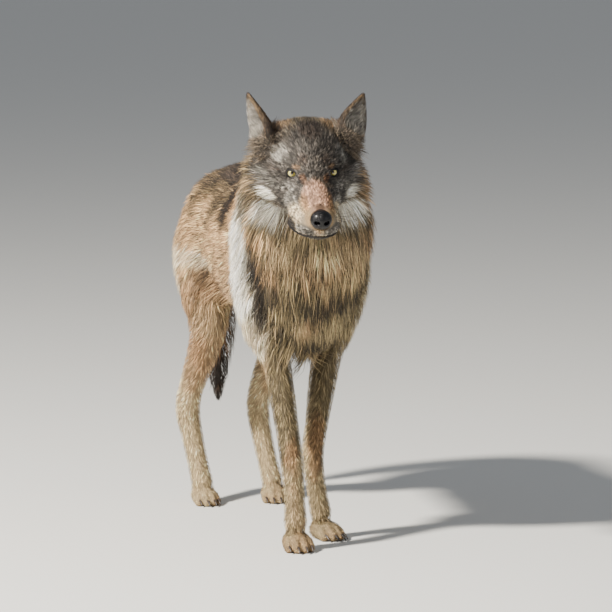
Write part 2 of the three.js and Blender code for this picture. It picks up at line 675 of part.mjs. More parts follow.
function addHead() {
  const axes = [gridLine(-240, 100, 18),
    [...gridLine(-760, -560, 15.5), ...gridLine(-530, -380, 28)], gridLine(640, 980, 18)];
  const eyes = SIDES.map(({ s }) => headPoint(s * EYE.side, EYE.forward, EYE.up));
  const ball = (centre, radius) => solidOf(new THREE.SphereGeometry(radius, 10, 7)
    .translate(centre.x, centre.y, centre.z));
  const nose = noseSolid();
  const face = trimmed(meshed(axes), HEAD_REGION, GAP / 2);
  const sockets = eyes.map((centre) => ball(centre, EYE.radius + GAP));
  const hollowed = sockets.reduce((left, socket) => left.subtract(socket), face);
  const jawRegion = regionSolid(JAW_REGION);
  const cleared = meshed(axes, FLESH, GAP);
  add('head', 'face', hollowed.subtract(jawRegion));
  add('lower_jaw', 'ruff', trimmed(face, JAW_REGION, GAP / 2));
  add('nose', 'nose', nose.subtract(cleared));
  SIDES.forEach(({ name }, n) => add(`eye_${name}`, 'eye', ball(eyes[n], EYE.radius)));
  for (const ear of EARS) add(`ear_${ear.name}`, 'ear', earSolid(ear).subtract(cleared));
  const neck = trimmed(fleshSolid(box3(-240, 200, -620, -140, 440, 980), [46, 46, 46]),
    [flip(NECK_BASE)], GAP / 2);
  add('neck', 'ruff', neck.subtract(regionSolid(HEAD_REGION)));
}

addTrunk();
addTail();
addLegs();
addHead();

export default wolf;
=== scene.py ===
"""A life-size timber wolf: one skin under a coat of mesh tufts, with eyes, nose, lips and claws."""

import itertools
import math

import bmesh
import bpy
import numpy as np
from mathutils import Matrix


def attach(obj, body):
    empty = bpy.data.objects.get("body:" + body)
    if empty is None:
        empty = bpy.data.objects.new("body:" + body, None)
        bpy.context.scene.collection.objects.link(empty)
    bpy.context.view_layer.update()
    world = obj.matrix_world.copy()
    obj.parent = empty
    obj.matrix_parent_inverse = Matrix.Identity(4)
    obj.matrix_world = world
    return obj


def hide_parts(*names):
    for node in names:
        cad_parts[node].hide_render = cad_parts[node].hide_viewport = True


bl_info = {
    "name": "Timber wolf",
    "version": (1, 0, 0),
    "blender": (4, 5, 0),
    "location": "View3D > Sidebar > Wolf",
    "description": "Skin, coat, eyes, nose, lips, whiskers and claws of a standing timber wolf",
    "category": "Object",
}

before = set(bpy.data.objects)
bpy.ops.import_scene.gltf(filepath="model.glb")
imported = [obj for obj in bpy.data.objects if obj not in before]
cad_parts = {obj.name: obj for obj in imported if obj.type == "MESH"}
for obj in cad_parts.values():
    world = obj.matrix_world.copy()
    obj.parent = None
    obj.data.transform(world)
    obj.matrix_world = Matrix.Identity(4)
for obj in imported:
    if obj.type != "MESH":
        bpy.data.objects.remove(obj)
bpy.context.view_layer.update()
SEED = 7
MM = 0.001
# Added to the stations' places, so that the wolf stands midway over the frame's zero.
CENTRE = np.array([20.0, 87.0, 0.0])
# Further than any blend between two chains reaches.
FAR = 90.0
SIDES = (("right", -1), ("left", 1))


# ---------------------------------------------------------------- places
def unit(v):
    """Each way at a length of one."""
    v = np.asarray(v, float)
    return v / np.maximum(np.linalg.norm(v, axis=-1, keepdims=True), 1e-9)


def metres(points):
    """Places of the model in metres, from millimetres round the stations' zero."""
    return (np.asarray(points, float) + CENTRE) * MM


def millimetres(points):
    """Places in the model's metres, in the body's millimetres."""
    return np.asarray(points, float) / MM - CENTRE


# The zero of the head's own axes, about midway between the eyes.
HEAD_AT = np.array([-74.0, -580.0, 832.0])
HEAD_TURN = {"yaw": 7.0, "pitch": -16.0, "roll": 1.0}


def head_axes():
    """The head's ways to its left, ahead and up."""
    yaw, pitch, roll = (math.radians(HEAD_TURN[name]) for name in ("yaw", "pitch", "roll"))
    ahead = np.array([-math.sin(yaw) * math.cos(pitch), -math.cos(yaw) * math.cos(pitch),
                      math.sin(pitch)])
    level = np.array([math.cos(yaw), -math.sin(yaw), 0.0])
    rise = np.cross(ahead, level)
    left = level * math.cos(roll) + rise * math.sin(roll)
    up = rise * math.cos(roll) - level * math.sin(roll)
    return np.array([left, ahead, up])


HEAD_AXES = head_axes()


def from_head(places):
    """Places given as left, ahead and up in the head, in the body's millimetres."""
    return HEAD_AT + np.asarray(places, float) @ HEAD_AXES


def head_way(way):
    """A way given as left, ahead and up in the head, in the body's axes."""
    return np.asarray(way, float) @ HEAD_AXES


def to_head(points):
    """Places in the body's millimetres, as left, ahead and up in the head."""
    return (np.asarray(points, float) - HEAD_AT) @ HEAD_AXES.T


# ---------------------------------------------------------------- chains of elliptical stations
# A station is x, y, z, half width, half depth and the depth of the coat over the skin there.
def curve_through(stations, steps=3):
    """Stations set between the given ones on a smooth curve through them."""
    p = np.asarray(stations, float)
    made = []
    for i in range(len(p) - 1):
        p0, p1, p2, p3 = p[max(i - 1, 0)], p[i], p[i + 1], p[min(i + 2, len(p) - 1)]
        for t in np.arange(steps) / steps:
            made.append(0.5 * (2 * p1 + (p2 - p0) * t + (2 * p0 - 5 * p1 + 4 * p2 - p3) * t * t
                               + (3 * p1 - p0 - 3 * p2 + p3) * t ** 3))
    made.append(p[-1])
    return np.array(made)


class Chain:
    """Stations joined by a smooth curve, with the way its hair lies."""

    def __init__(self, part, blend, side, stations, lie=(0, 0, 0), along=0.0, head=False):
        rows = np.array(stations, float)
        if head:
            rows[:, :3] = from_head(rows[:, :3])
            side, lie = head_way(side), head_way(lie)
        self.part, self.blend, self.lie, self.along = part, blend, np.asarray(lie, float), along
        points = curve_through(rows)
        self.segments = []
        for a, b in zip(points[:-1], points[1:]):
            way = b[:3] - a[:3]
            length = float(np.linalg.norm(way))
            way = way / length
            across = unit(np.asarray(side, float) - way * np.dot(side, way))
            reach = max(a[3], a[4], b[3], b[4]) + blend + 12
            low, high = np.minimum(a[:3], b[:3]) - reach, np.maximum(a[:3], b[:3]) + reach
            self.segments.append((a, b, length, way, across, np.cross(way, across), low, high))
        self.low = np.min([s[6] for s in self.segments], axis=0)
        self.high = np.max([s[7] for s in self.segments], axis=0)


def segment_distance(segment, x, y, z, bare):
    """About how far places are from a tapered elliptical length, less the coat's share of it.

    With bare at 0 it is the surface at the hair tips, and with bare at 1 the skin."""
    a, b, length, way, across, other = segment[:6]
    qx, qy, qz = x - a[0], y - a[1], z - a[2]
    run = qx * way[0] + qy * way[1] + qz * way[2]
    t = np.clip(run / length, 0, 1)
    ra, rb = (a[3:5] - bare * a[5]), (b[3:5] - bare * b[5])
    wide = ra[0] + t * (rb[0] - ra[0])
    deep = ra[1] + t * (rb[1] - ra[1])
    end = np.minimum(wide, deep)
    u = (qx * across[0] + qy * across[1] + qz * across[2]) / wide
    v = (qx * other[0] + qy * other[1] + qz * other[2]) / deep
    w = (run - t * length) / end
    k0 = np.sqrt(u * u + v * v + w * w + 1e-6)
    u, v, w = u / wide, v / deep, w / end
    k1 = np.sqrt(u * u + v * v + w * w + 1e-12)
    return k0 * (k0 - 1) / k1


def smooth_min(a, b, blend):
    """The lesser of two fields, rounded over where they are within the blend of each other."""
    h = np.maximum(blend - np.abs(a - b), 0) / blend
    return np.minimum(a, b) - h * h * blend * 0.25


def chain_on_points(chain, points, bare, ways=False):
    """The chain's field at the points near it, with the way of the nearest segment."""
    near = np.nonzero(((points > chain.low) & (points < chain.high)).all(1))[0]
    if not len(near):
        return near, None, None
    p = points[near]
    least = np.full(len(p), FAR)
    way = np.zeros((len(p), 3)) if ways else None
    for segment in chain.segments:
        at = np.nonzero(((p > segment[6]) & (p < segment[7])).all(1))[0]
        if not len(at):
            continue
        d = segment_distance(segment, p[at, 0], p[at, 1], p[at, 2], bare)
        closer = d < least[at]
        least[at[closer]] = d[closer]
        if ways:
            way[at[closer]] = segment[3]
    return near, least, way


# The way out of an eye's opening: to its own side, to the left, ahead and up.
OPENING = {"own_side": 0.18, "left": -0.11, "ahead": 0.93, "up": 0.24}
# Half sizes of the almond between the lids, in millimetres, and how far its outer end is up.
ALMOND = {"outer": 9.2, "inner": 11.2, "top": 5.2, "bottom": 6.2, "tilt": 1.8, "drop": 0.5}
# Half sizes of the slot that is cut in the face before the ball, its slope and its drop.
SLOT = {"outer": 9.0, "inner": 9.8, "half": 5.9, "tilt": 0.14, "drop": 0.4}
# Room round the ball, and how near the eyes a place is before they are looked at.
SOCKET_PLAY = 0.3
NEAR_EYES = 90


def eye_frame(s, look=None):
    """The ways of an eye in space: out of the opening, to the outer corner, and up."""
    look = look or (s * OPENING["own_side"] + OPENING["left"], OPENING["ahead"], OPENING["up"])
    axis = unit(head_way(look))
    up = head_way((0, 0, 1))
    up = unit(up - axis * up.dot(axis))
    return axis, np.cross(axis, up) * -s, up


def lid_edge(turn, grow=0.0):
    """The almond between the lids: across and up in millimetres, from the outer corner over
    the top to the inner one, a little lower."""
    c, s = np.cos(turn), np.sin(turn)
    wide = np.where(c > 0, ALMOND["outer"], ALMOND["inner"]) + grow
    tall = np.where(s > 0, ALMOND["top"], ALMOND["bottom"]) + grow
    across = wide * np.sign(c) * np.abs(c) ** 0.92
    up = tall * np.sign(s) * np.abs(s) ** 1.12 + ALMOND["tilt"] * c - ALMOND["drop"]
    return across, up


def in_slot(a, b, outer, inner, half):
    """How far out places are in an almond of the slot's tilt: 1 on its edge."""
    wide = np.where(a > 0, outer, inner)
    return np.sqrt((a / wide) ** 2 + ((b - SLOT["tilt"] * a + SLOT["drop"]) / half) ** 2)


def open_eye(x, y, z):
    """Above 0 in the ball's socket and in the almond opening before it."""
    made = np.full(np.broadcast(x, y, z).shape, -FAR)
    for (_, s), centre in zip(SIDES, EYES):
        axis, across, up = eye_frame(s)
        q = (x - centre[0], y - centre[1], z - centre[2])
        a, b, out = (q[0] * w[0] + q[1] * w[1] + q[2] * w[2] for w in (across, up, axis))
        ball = EYE_RADIUS + SOCKET_PLAY - np.sqrt(a * a + b * b + out * out)
        slot = (1 - in_slot(a, b, SLOT["outer"], SLOT["inner"], SLOT["half"])) * SLOT["half"]
        made = np.maximum(made, np.maximum(ball, np.minimum(slot, out)))
    return made


def plain_field(points, bare=1.0):
    """The field of the flesh before the ears and the eyes are hollowed."""
    field = np.full(len(points), FAR)
    for chain in FLESH:
        near, d, _ = chain_on_points(chain, points, bare)
        if len(near):
            field[near] = smooth_min(field[near], d, chain.blend)
    return field


def field_on_points(points, bare=0.0, hollowed=True):
    """The wolf's field at some points: below 0 inside it, and never below the floor."""
    points = np.asarray(points, float)
    field = plain_field(points, bare)
    if hollowed:
        for chain in HOLLOWS:
            near, d, _ = chain_on_points(chain, points, 0)
            if len(near):
                field[near] = -smooth_min(-field[near], d, chain.blend)
        close = np.nonzero(np.linalg.norm(points - sum(EYES) / 2, axis=1) < NEAR_EYES)[0]
        field[close] = np.maximum(field[close], open_eye(*points[close].T))
    return np.maximum(field, -points[:, 2])


def slopes(points, bare=0.0, step=0.6):
    """The way out of the field at each point."""
    made = np.zeros_like(points)
    for n in range(3):
        ahead, back = points.copy(), points.copy()
        ahead[:, n] += step
        back[:, n] -= step
        made[:, n] = field_on_points(ahead, bare) - field_on_points(back, bare)
    return unit(made)


def part_of_axis(axis, low, high):
    """The part of a grid's axis between two places."""
    first, last = np.searchsorted(axis, [low, high])
    return slice(first, last)


def field_on_grid(axes, chains, hollows, bare):
    """The field at each point of a grid, with each chain measured only near itself."""
    axes = [a.astype(np.float32) for a in axes]
    shape = tuple(len(a) for a in axes)
    field = np.full(shape, FAR, np.float32)
    xyz = (axes[0][:, None, None], axes[1][None, :, None], axes[2][None, None, :])

    def measured(chain, share):
        """The part of the grid near a chain, and the chain's field there."""
        box = tuple(part_of_axis(a, lo, hi) for a, lo, hi in zip(axes, chain.low, chain.high))
        local = np.full(field[box].shape, FAR, np.float32)
        for s in chain.segments:
            inner = tuple(part_of_axis(a[b], lo, hi)
                          for a, b, lo, hi in zip(axes, box, s[6], s[7]))
            if not local[inner].size:
                continue
            x, y, z = (c[tuple(b if n == m else slice(None) for m in range(3))]
                       [tuple(i if n == m else slice(None) for m in range(3))]
                       for n, (c, b, i) in enumerate(zip(xyz, box, inner)))
            local[inner] = np.minimum(local[inner], segment_distance(s, x, y, z, share))
        return box, local

    for chain in chains:
        box, local = measured(chain, bare)
        field[box] = smooth_min(field[box], local, chain.blend)
    for chain in hollows:
        box, local = measured(chain, 0)
        field[box] = -smooth_min(-field[box], local, chain.blend)
    return field, xyz


def net_of(axes, field):
    """Surface nets: one point in each crossed cell and one quad round each crossed edge."""
    inside = field < 0
    nx, ny, nz = field.shape
    corners = list(itertools.product((0, 1), repeat=3))
    count = sum(inside[i:nx - 1 + i, j:ny - 1 + j, k:nz - 1 + k].astype(np.int8)
                for i, j, k in corners)
    cells = np.argwhere((count > 0) & (count < 8))
    number = np.full(count.shape, -1, np.int32)
    number[tuple(cells.T)] = np.arange(len(cells))
    total, crossings = np.zeros((len(cells), 3)), np.zeros(len(cells))
    for corner in corners:
        for axis in range(3):
            if corner[axis]:
                continue
            end = list(corner)
            end[axis] = 1
            fa = field[tuple((cells + corner).T)]
            fb = field[tuple((cells + end).T)]
            crossed = (fa < 0) != (fb < 0)
            t = np.where(crossed, fa / np.where(crossed, fa - fb, 1), 0)
            p = np.stack([axes[n][cells[:, n] + corner[n]] for n in range(3)], -1)
            start = axes[axis][cells[:, axis]]
            p[:, axis] = start + t * (axes[axis][cells[:, axis] + 1] - start)
            total += p * crossed[:, None]
            crossings += crossed
    quads = []
    for axis in range(3):
        b, c = [(1, 2), (2, 0), (0, 1)][axis]
        first, second = [slice(1, -1)] * 3, [slice(1, -1)] * 3
        first[axis], second[axis] = slice(0, -1), slice(1, None)
        offset = np.array([1, 1, 1])
        offset[axis] = 0
        edges = np.argwhere(inside[tuple(first)] != inside[tuple(second)]) + offset
        negative = inside[tuple(edges.T)]
        eb, ec = np.eye(3, dtype=int)[b], np.eye(3, dtype=int)[c]
        quad = np.stack([number[tuple((edges - eb - ec).T)], number[tuple((edges - ec).T)],
                         number[tuple(edges.T)], number[tuple((edges - eb).T)]], -1)
        quads.append(np.where(negative[:, None], quad, quad[:, ::-1]))
    return total / crossings[:, None], np.concatenate(quads)


def grid_line(*runs):
    """Runs of (from, to, step), one after another along an axis."""
    line = [np.arange(a, b, step) for a, b, step in runs]
    return np.concatenate(line + [[runs[-1][1]]])


# ---------------------------------------------------------------- the wolf's chains
X, Y = (1, 0, 0), (0, 1, 0)


def body_chains():
    """The trunk, neck, tail and legs, with the way that the hair of each lies."""
    made = [
        Chain("trunk", 40, X, [
            (-16, -335, 590, 88, 110, 35), (-14, -270, 605, 120, 165, 35),
            (-10, -190, 620, 138, 196, 32), (-6, -90, 632, 146, 188, 30),
            (-2, 20, 632, 148, 181, 30), (-4, 130, 645, 142, 168, 28),
            (-6, 220, 662, 134, 148, 28), (-6, 300, 674, 118, 118, 26),
            (-8, 362, 670, 84, 86, 24)], lie=(0, 1, -0.3)),
        Chain("trunk", 50, X, [(-8, -215, 742, 66, 84, 35), (-6, -120, 752, 70, 74, 32)],
              lie=(0, 1, -0.2)),
        Chain("neck", 45, X, [
            (-10, -190, 680, 126, 148, 45), (-24, -275, 705, 140, 150, 50),
            (-42, -350, 745, 140, 138, 50), (-54, -405, 785, 128, 118, 42),
            (-60, -440, 815, 106, 96, 30)], lie=(0, 0.8, -0.75)),
        Chain("neck", 40, X, [
            (-38, -440, 760, 144, 86, 55), (-36, -418, 690, 154, 106, 60),
            (-28, -392, 600, 126, 92, 60), (-20, -366, 515, 94, 70, 50),
            (-18, -338, 468, 62, 56, 40)], lie=(0, 0.25, -1)),
        Chain("tail", 30, X, [
            (-8, 372, 700, 44, 44, 26), (-8, 425, 655, 42, 42, 28), (-10, 465, 570, 50, 48, 34),
            (-14, 480, 460, 54, 52, 38), (-18, 472, 360, 44, 44, 34), (-20, 464, 280, 26, 26, 20),
            (-20, 460, 232, 8, 8, 6)], along=1.0),
    ]
    for _, s in SIDES:
        far = 14 if s < 0 else 0
        made.append(Chain("trunk", 38, Y, [
            (s * (76 + 0.6 * far) - 10, -215, 735, 75, 50, 32),
            (s * (92 + far) - 12, -290, 605, 76, 56 + 0.5 * far, 34),
            (s * (88 + 1.2 * far) - 12, -285, 525, 70, 50 + 0.4 * far, 32),
            (s * (70 + far) - 14, -268, 452, 52, 40 + 0.2 * far, 26)],
            lie=(0, 0.5, -0.95)))
        made.append(Chain("trunk", 38, Y, [
            (s * 66 - 6, 255, 705, 92, 66, 28), (s * 100 - 6, 272, 605, 104, 68, 28),
            (s * 102 - 6, 222, 500, 92, 56, 24)], lie=(0, 0.6, -0.8)))
    legs = {
        "fore_right": [(-90, -290, 520, 48, 62, 24), (-84, -296, 440, 35, 54, 16),
                       (-76, -325, 350, 31, 42, 10), (-70, -358, 260, 27, 32, 7),
                       (-66, -380, 190, 27, 30, 6), (-62, -386, 120, 24, 27, 6),
                       (-60, -388, 60, 27, 30, 6)],
        "fore_left": [(64, -272, 520, 48, 62, 24), (48, -270, 440, 36, 54, 16),
                      (34, -266, 350, 33, 42, 10), (22, -264, 260, 27, 32, 7),
                      (13, -262, 190, 26, 30, 6), (22, -258, 120, 23, 27, 6),
                      (34, -252, 60, 26, 30, 6)],
        "hind_right": [(-104, 250, 560, 58, 98, 22), (-102, 205, 470, 50, 78, 18),
                       (-104, 262, 375, 38, 54, 12), (-112, 338, 285, 30, 42, 8),
                       (-116, 372, 222, 30, 40, 6), (-108, 364, 160, 27, 32, 6),
                       (-98, 342, 90, 26, 28, 6), (-93, 325, 50, 28, 29, 6)],
        "hind_left": [(84, 250, 560, 58, 98, 22), (80, 205, 470, 50, 78, 18),
                      (70, 262, 375, 36, 54, 12), (58, 338, 285, 29, 42, 8),
                      (54, 372, 222, 28, 40, 6), (60, 364, 160, 26, 32, 6),
                      (70, 342, 90, 25, 28, 6), (76, 325, 50, 27, 29, 6)],
    }
    for name, rows in legs.items():
        made.append(Chain(name, 24, X, rows, lie=(0, 0.15, 0), along=1.0))
    return made


# A paw: name, x, y, turn in degrees, width and length against the first.
PAWS = (("fore_right", -60, -392, 0, 0.95, 1.0), ("fore_left", 42, -254, 22, 0.95, 1.0),
        ("hind_right", -92, 318, 8, 0.88, 0.95), ("hind_left", 77, 318, -4, 0.88, 0.95))
TOES = ((-25, 22), (-9, 36), (9, 36), (25, 22))
PAD_SINK = 3.5


def paw_frame(paw):
    """The ways ahead and across of a paw, and a function that gives places in it."""
    _, x, y, turn, width, length = paw
    turn = math.radians(turn)
    ahead = np.array([math.sin(turn), -math.cos(turn), 0.0])
    across = np.array([math.cos(turn), math.sin(turn), 0.0])

    def at(a, f, z):
        """A place across, ahead and up in the paw."""
        return np.array([x, y, z - PAD_SINK]) + across * a * width + ahead * f * length
    return ahead, across, at


def paw_chains(paw):
    """The pad and four toes of a paw."""
    ahead, across, at = paw_frame(paw)
    lie = ahead + np.array([0, 0, -0.5])
    made = [Chain(paw[0], 10, across, [(*at(0, -14, 24), 30 * paw[4], 26, 4),
                                       (*at(0, 14, 24), 33 * paw[4], 22, 4)], lie=lie)]
    for a, f in TOES:
        made.append(Chain(paw[0], 7, across, [
            (*at(a * 0.8, f - 26, 26), 11, 15, 2.5), (*at(a, f - 4, 20), 11.5, 15, 2.5),
            (*at(a * 1.05, f + 10, 12), 9.5, 11, 1.5)], lie=lie))
    return made


def head_chains():
    """The skull, muzzle, jaw and crown, and on each side the lips, cheek and brow."""
    made = [
        Chain("head", 20, X, [(0, -185, -12, 72, 66, 18), (0, -140, 8, 74, 66, 16),
                              (0, -95, 14, 80, 70, 13), (0, -50, 12, 72, 62, 7),
                              (0, -14, 2, 52, 44, 4)], lie=(0, -1, 0), head=True),
        Chain("head", 20, X, [(0, -16, -20, 46, 42, 4), (0, 28, -38, 40, 38, 3.5),
                              (0, 70, -52, 37, 34, 3), (0, 102, -60, 34, 30, 3),
                              (0, 114, -62, 27, 23, 3)], lie=(0, -1, 0.1), head=True),
        Chain("head", 16, X, [(0, -60, -64, 50, 38, 14), (0, 0, -86, 38, 28, 8),
                              (0, 50, -98, 30, 17, 5), (0, 90, -99, 25, 14, 4),
                              (0, 108, -95, 19, 11, 3)], lie=(0, -1, -0.3), head=True),
    ]
    made.append(Chain("head", 22, Y, [
        (-48, -114, 56, 36, 25, 11), (0, -110, 60, 36, 24, 10), (48, -114, 56, 36, 25, 11)],
        lie=(0, -1, 0), head=True))
    for _, s in SIDES:
        rows = [
            (24, (0.1 * s, -1, -0.15), [(39, 28, -86, 16, 20, 3.5), (38, 60, -84, 17, 20, 3),
                                        (27, 95, -79, 16, 20, 3), (9, 116, -75, 14, 18, 3)]),
            (20, (0.5 * s, -0.85, -0.2), [(30, 22, -50, 20, 24, 3.5), (50, -22, -56, 24, 28, 6),
                                          (66, -60, -54, 26, 32, 12)]),
            (22, (0.7 * s, -0.8, 0.05), [(36, -2, -26, 20, 20, 3.5), (60, -40, -18, 24, 28, 6.5),
                                         (72, -80, -10, 30, 40, 13)]),
            (9, (0.5 * s, -0.8, 0.1), [(40, -8, 0, 16, 15.5, 2.6), (54, -17, 1, 16, 15.5, 3.2)]),
            (26, (0.7 * s, -0.6, -0.7), [(74, -78, -36, 34, 50, 22), (96, -112, -52, 42, 60, 34),
                                         (98, -150, -70, 50, 70, 44)]),
            (18, (0.2 * s, -0.7, 0.8), [(84, -108, 6, 36, 34, 18), (86, -104, 50, 36, 26, 10)]),
            (12, (0.35 * s, -0.7, 0.6), [(22, -6, 18, 14, 11, 4), (42, -13, 20, 13, 10, 4),
                                         (60, -33, 19, 14, 12, 5)]),
        ]
        for blend, lie, stations in rows:
            made.append(Chain("head", blend, X, [(s * row[0], *row[1:]) for row in stations],
                              lie=lie, head=True))
    return made


# An ear: side, sign, tip in the head's axes, and how far to the side its hollow opens.
EARS = (("right", -1, (-124, -134, 136), 72.0), ("left", 1, (127, -146, 124), 28.0))
EAR_BASE = (89, -104, 44)
EAR_WALL = 5.0
# Share of the height, half width and half depth.
EAR_PROFILE = ((-0.12, 30, 22), (0.1, 36, 22), (0.3, 35, 19), (0.5, 29, 15), (0.7, 20, 10),
               (0.88, 11, 6), (1, 3.5, 3))


def ear_frame(ear):
    """The ear's root, height and its ways along, across and out of the opening, in the head."""
    _, s, tip, opens = ear
    base = np.array([s * EAR_BASE[0], EAR_BASE[1], EAR_BASE[2]], float)
    along = np.array(tip, float) - base
    height = float(np.linalg.norm(along))
    along = along / height
    opens = math.radians(opens)
    opening = np.array([s * math.sin(opens), math.cos(opens), 0.15])
    opening = unit(opening - along * opening.dot(along))
    return base, height, along, np.cross(along, opening), opening


def ear_chains(ear):
    """An ear's outer form and the hollow in it."""
    base, height, along, wide, opening = ear_frame(ear)

    def station(share, push, half, deep, coat):
        """A station at a share of the ear's height, pushed out of its opening."""
        return (*(base + along * height * share + opening * push), half, deep, coat)
    outer = Chain("ear", 12, wide, [station(a, 0, b, c, 1.0) for a, b, c in EAR_PROFILE],
                  along=1.0, head=True)
    inner = Chain("ear", 5, wide, [
        station(a, EAR_WALL + c * 0.62, b - EAR_WALL * 0.6, c, 0)
        for a, b, c in EAR_PROFILE[2:6]], head=True)
    return outer, inner


EYE_RADIUS = 12.5
EYES = [from_head((s * 43 - 0.2, -5.8, 0.4)) for _, s in SIDES]
FLESH = body_chains() + [c for paw in PAWS for c in paw_chains(paw)] + head_chains()
EAR_PAIRS = [ear_chains(ear) for ear in EARS]
FLESH += [outer for outer, _ in EAR_PAIRS]
HOLLOWS = [inner for _, inner in EAR_PAIRS]
PARTS = sorted({chain.part for chain in FLESH})


# ---------------------------------------------------------------- random values in space
def hashed(cell, seed):
    """A value from 0 to 1 for each cell of a grid."""
    mask = 0xFFFFFFFF
    n = (cell[:, 0] * 73856093) ^ (cell[:, 1] * 19349663) ^ (cell[:, 2] * 83492791)
    n = (n ^ (seed * 668265263)) & mask
    n = ((n ^ (n >> 15)) * 2246822519) & mask
    n = ((n ^ (n >> 13)) * 3266489917) & mask
    return ((n ^ (n >> 16)) & 0xFFFFFF) / float(0x1000000)


def noise(points, size, seed):
    """Smooth noise from 0 to 1, with features of about the given size."""
    q = np.asarray(points, float) / size
    cell = np.floor(q).astype(np.int64)
    t = q - cell
    t = t * t * (3 - 2 * t)
    value = 0
    for corner in itertools.product((0, 1), repeat=3):
        weight = np.prod(np.where(np.array(corner) == 1, t, 1 - t), axis=1)
        value = value + weight * hashed(cell + corner, seed)
    return value


def locks(points, size, seed):
    """The nearest point of a scattered set for each point, with a random value of its own."""
    cell = np.floor(points / size).astype(np.int64)
    best = np.full(len(points), 1e18)
    centre, tone = np.zeros_like(points), np.zeros(len(points))
    for step in itertools.product((-1, 0, 1), repeat=3):
        c = cell + step
        at = (c + np.stack([hashed(c, seed + n) for n in range(3)], -1)) * size
        d = ((at - points) ** 2).sum(1)
        near = d < best
        best[near], centre[near], tone[near] = d[near], at[near], hashed(c, seed + 3)[near]
    return centre, tone


def linear(colour):
    """A screen colour as linear light."""
    c = np.asarray(colour, float)[..., :3]
    return np.where(c <= 0.04045, c / 12.92, ((c + 0.055) / 1.055) ** 2.4)


# ---------------------------------------------------------------- settings
def tint(name, description, value):
    """A colour that the user may change."""
    return bpy.props.FloatVectorProperty(name=name, description=description, size=3, min=0,
                                         max=1, subtype="COLOR_GAMMA", default=value)


class WolfColours(bpy.types.PropertyGroup):
    """Colours of the hair, skin, eyes and horn."""
    cream: tint("Cream", "Under-hair of the ruff and legs", (0.85, 0.75, 0.58))
    white: tint("White", "Cheeks, lips and shoulder stripes", (1.0, 0.97, 0.90))
    tan: tint("Tan", "Flanks and shoulders", (0.68, 0.52, 0.36))
    rust: tint("Rust", "Thighs, ear backs and carpus", (0.56, 0.385, 0.25))
    brown: tint("Brown", "Forehead and the back of the neck", (0.30, 0.225, 0.17))
    grey: tint("Grey", "Speckled hair round the eyes", (0.36, 0.335, 0.31))
    silver: tint("Silver", "Pale hair of the brows and under the eyes", (0.64, 0.62, 0.585))
    # Olive and straw, where they lie on the front of the ruff and under the jaw, are partly the
    # ruff's own olive tone and partly painted shade under the head.
    olive: tint("Olive", "The dusky band on the cheek", (0.36, 0.31, 0.22))
    straw: tint("Straw", "The middle of the ruff and the front of the legs", (0.60, 0.53, 0.39))
    pink: tint("Bridge", "The bare-looking middle of the muzzle", (0.70, 0.55, 0.455))
    dark: tint("Dark tips", "Black-brown tips of the guard hairs", (0.075, 0.06, 0.055))
    horn: tint("Horn", "Claws", (0.13, 0.11, 0.10))
    rim: tint("Rim", "Eyelids and lips", (0.06, 0.05, 0.05))
    iris: tint("Iris", "The iris", (0.84, 0.80, 0.42))
    nose: tint("Nose", "The nose pad", (0.035, 0.032, 0.044))
    floor: tint("Floor", "The floor", (0.86, 0.86, 0.85))


class WolfSizes(bpy.types.PropertyGroup):
    """Sizes of the tufts and of the small pieces, in millimetres."""
    length: bpy.props.FloatProperty(name="Tuft length", description="Length against coat depth",
                                    default=1.9, min=1.2, max=3)
    spacing: bpy.props.FloatProperty(name="Tuft spacing", description="Spacing of the tufts "
                                     "against the one that suits their length", default=1.0,
                                     min=0.6, max=3)
    lock: bpy.props.FloatProperty(name="Lock", description="How far the tips gather into locks",
                                  default=0.55, min=0, max=1, subtype="FACTOR")
    most: bpy.props.IntProperty(name="Most tufts", description="Most tufts in one piece",
                                default=19000, min=1000, max=19900)
    whiskers: bpy.props.IntProperty(name="Whiskers", description="Whiskers on each side",
                                    default=16, min=0, max=40)


def sizes():
    """The sizes that the user may change."""
    return bpy.context.scene.wolf_sizes


def palette():
    """The colours by name, as linear light."""
    group = bpy.context.scene.wolf_colours
    return {name: linear(getattr(group, name)) for name in WolfColours.__annotations__}


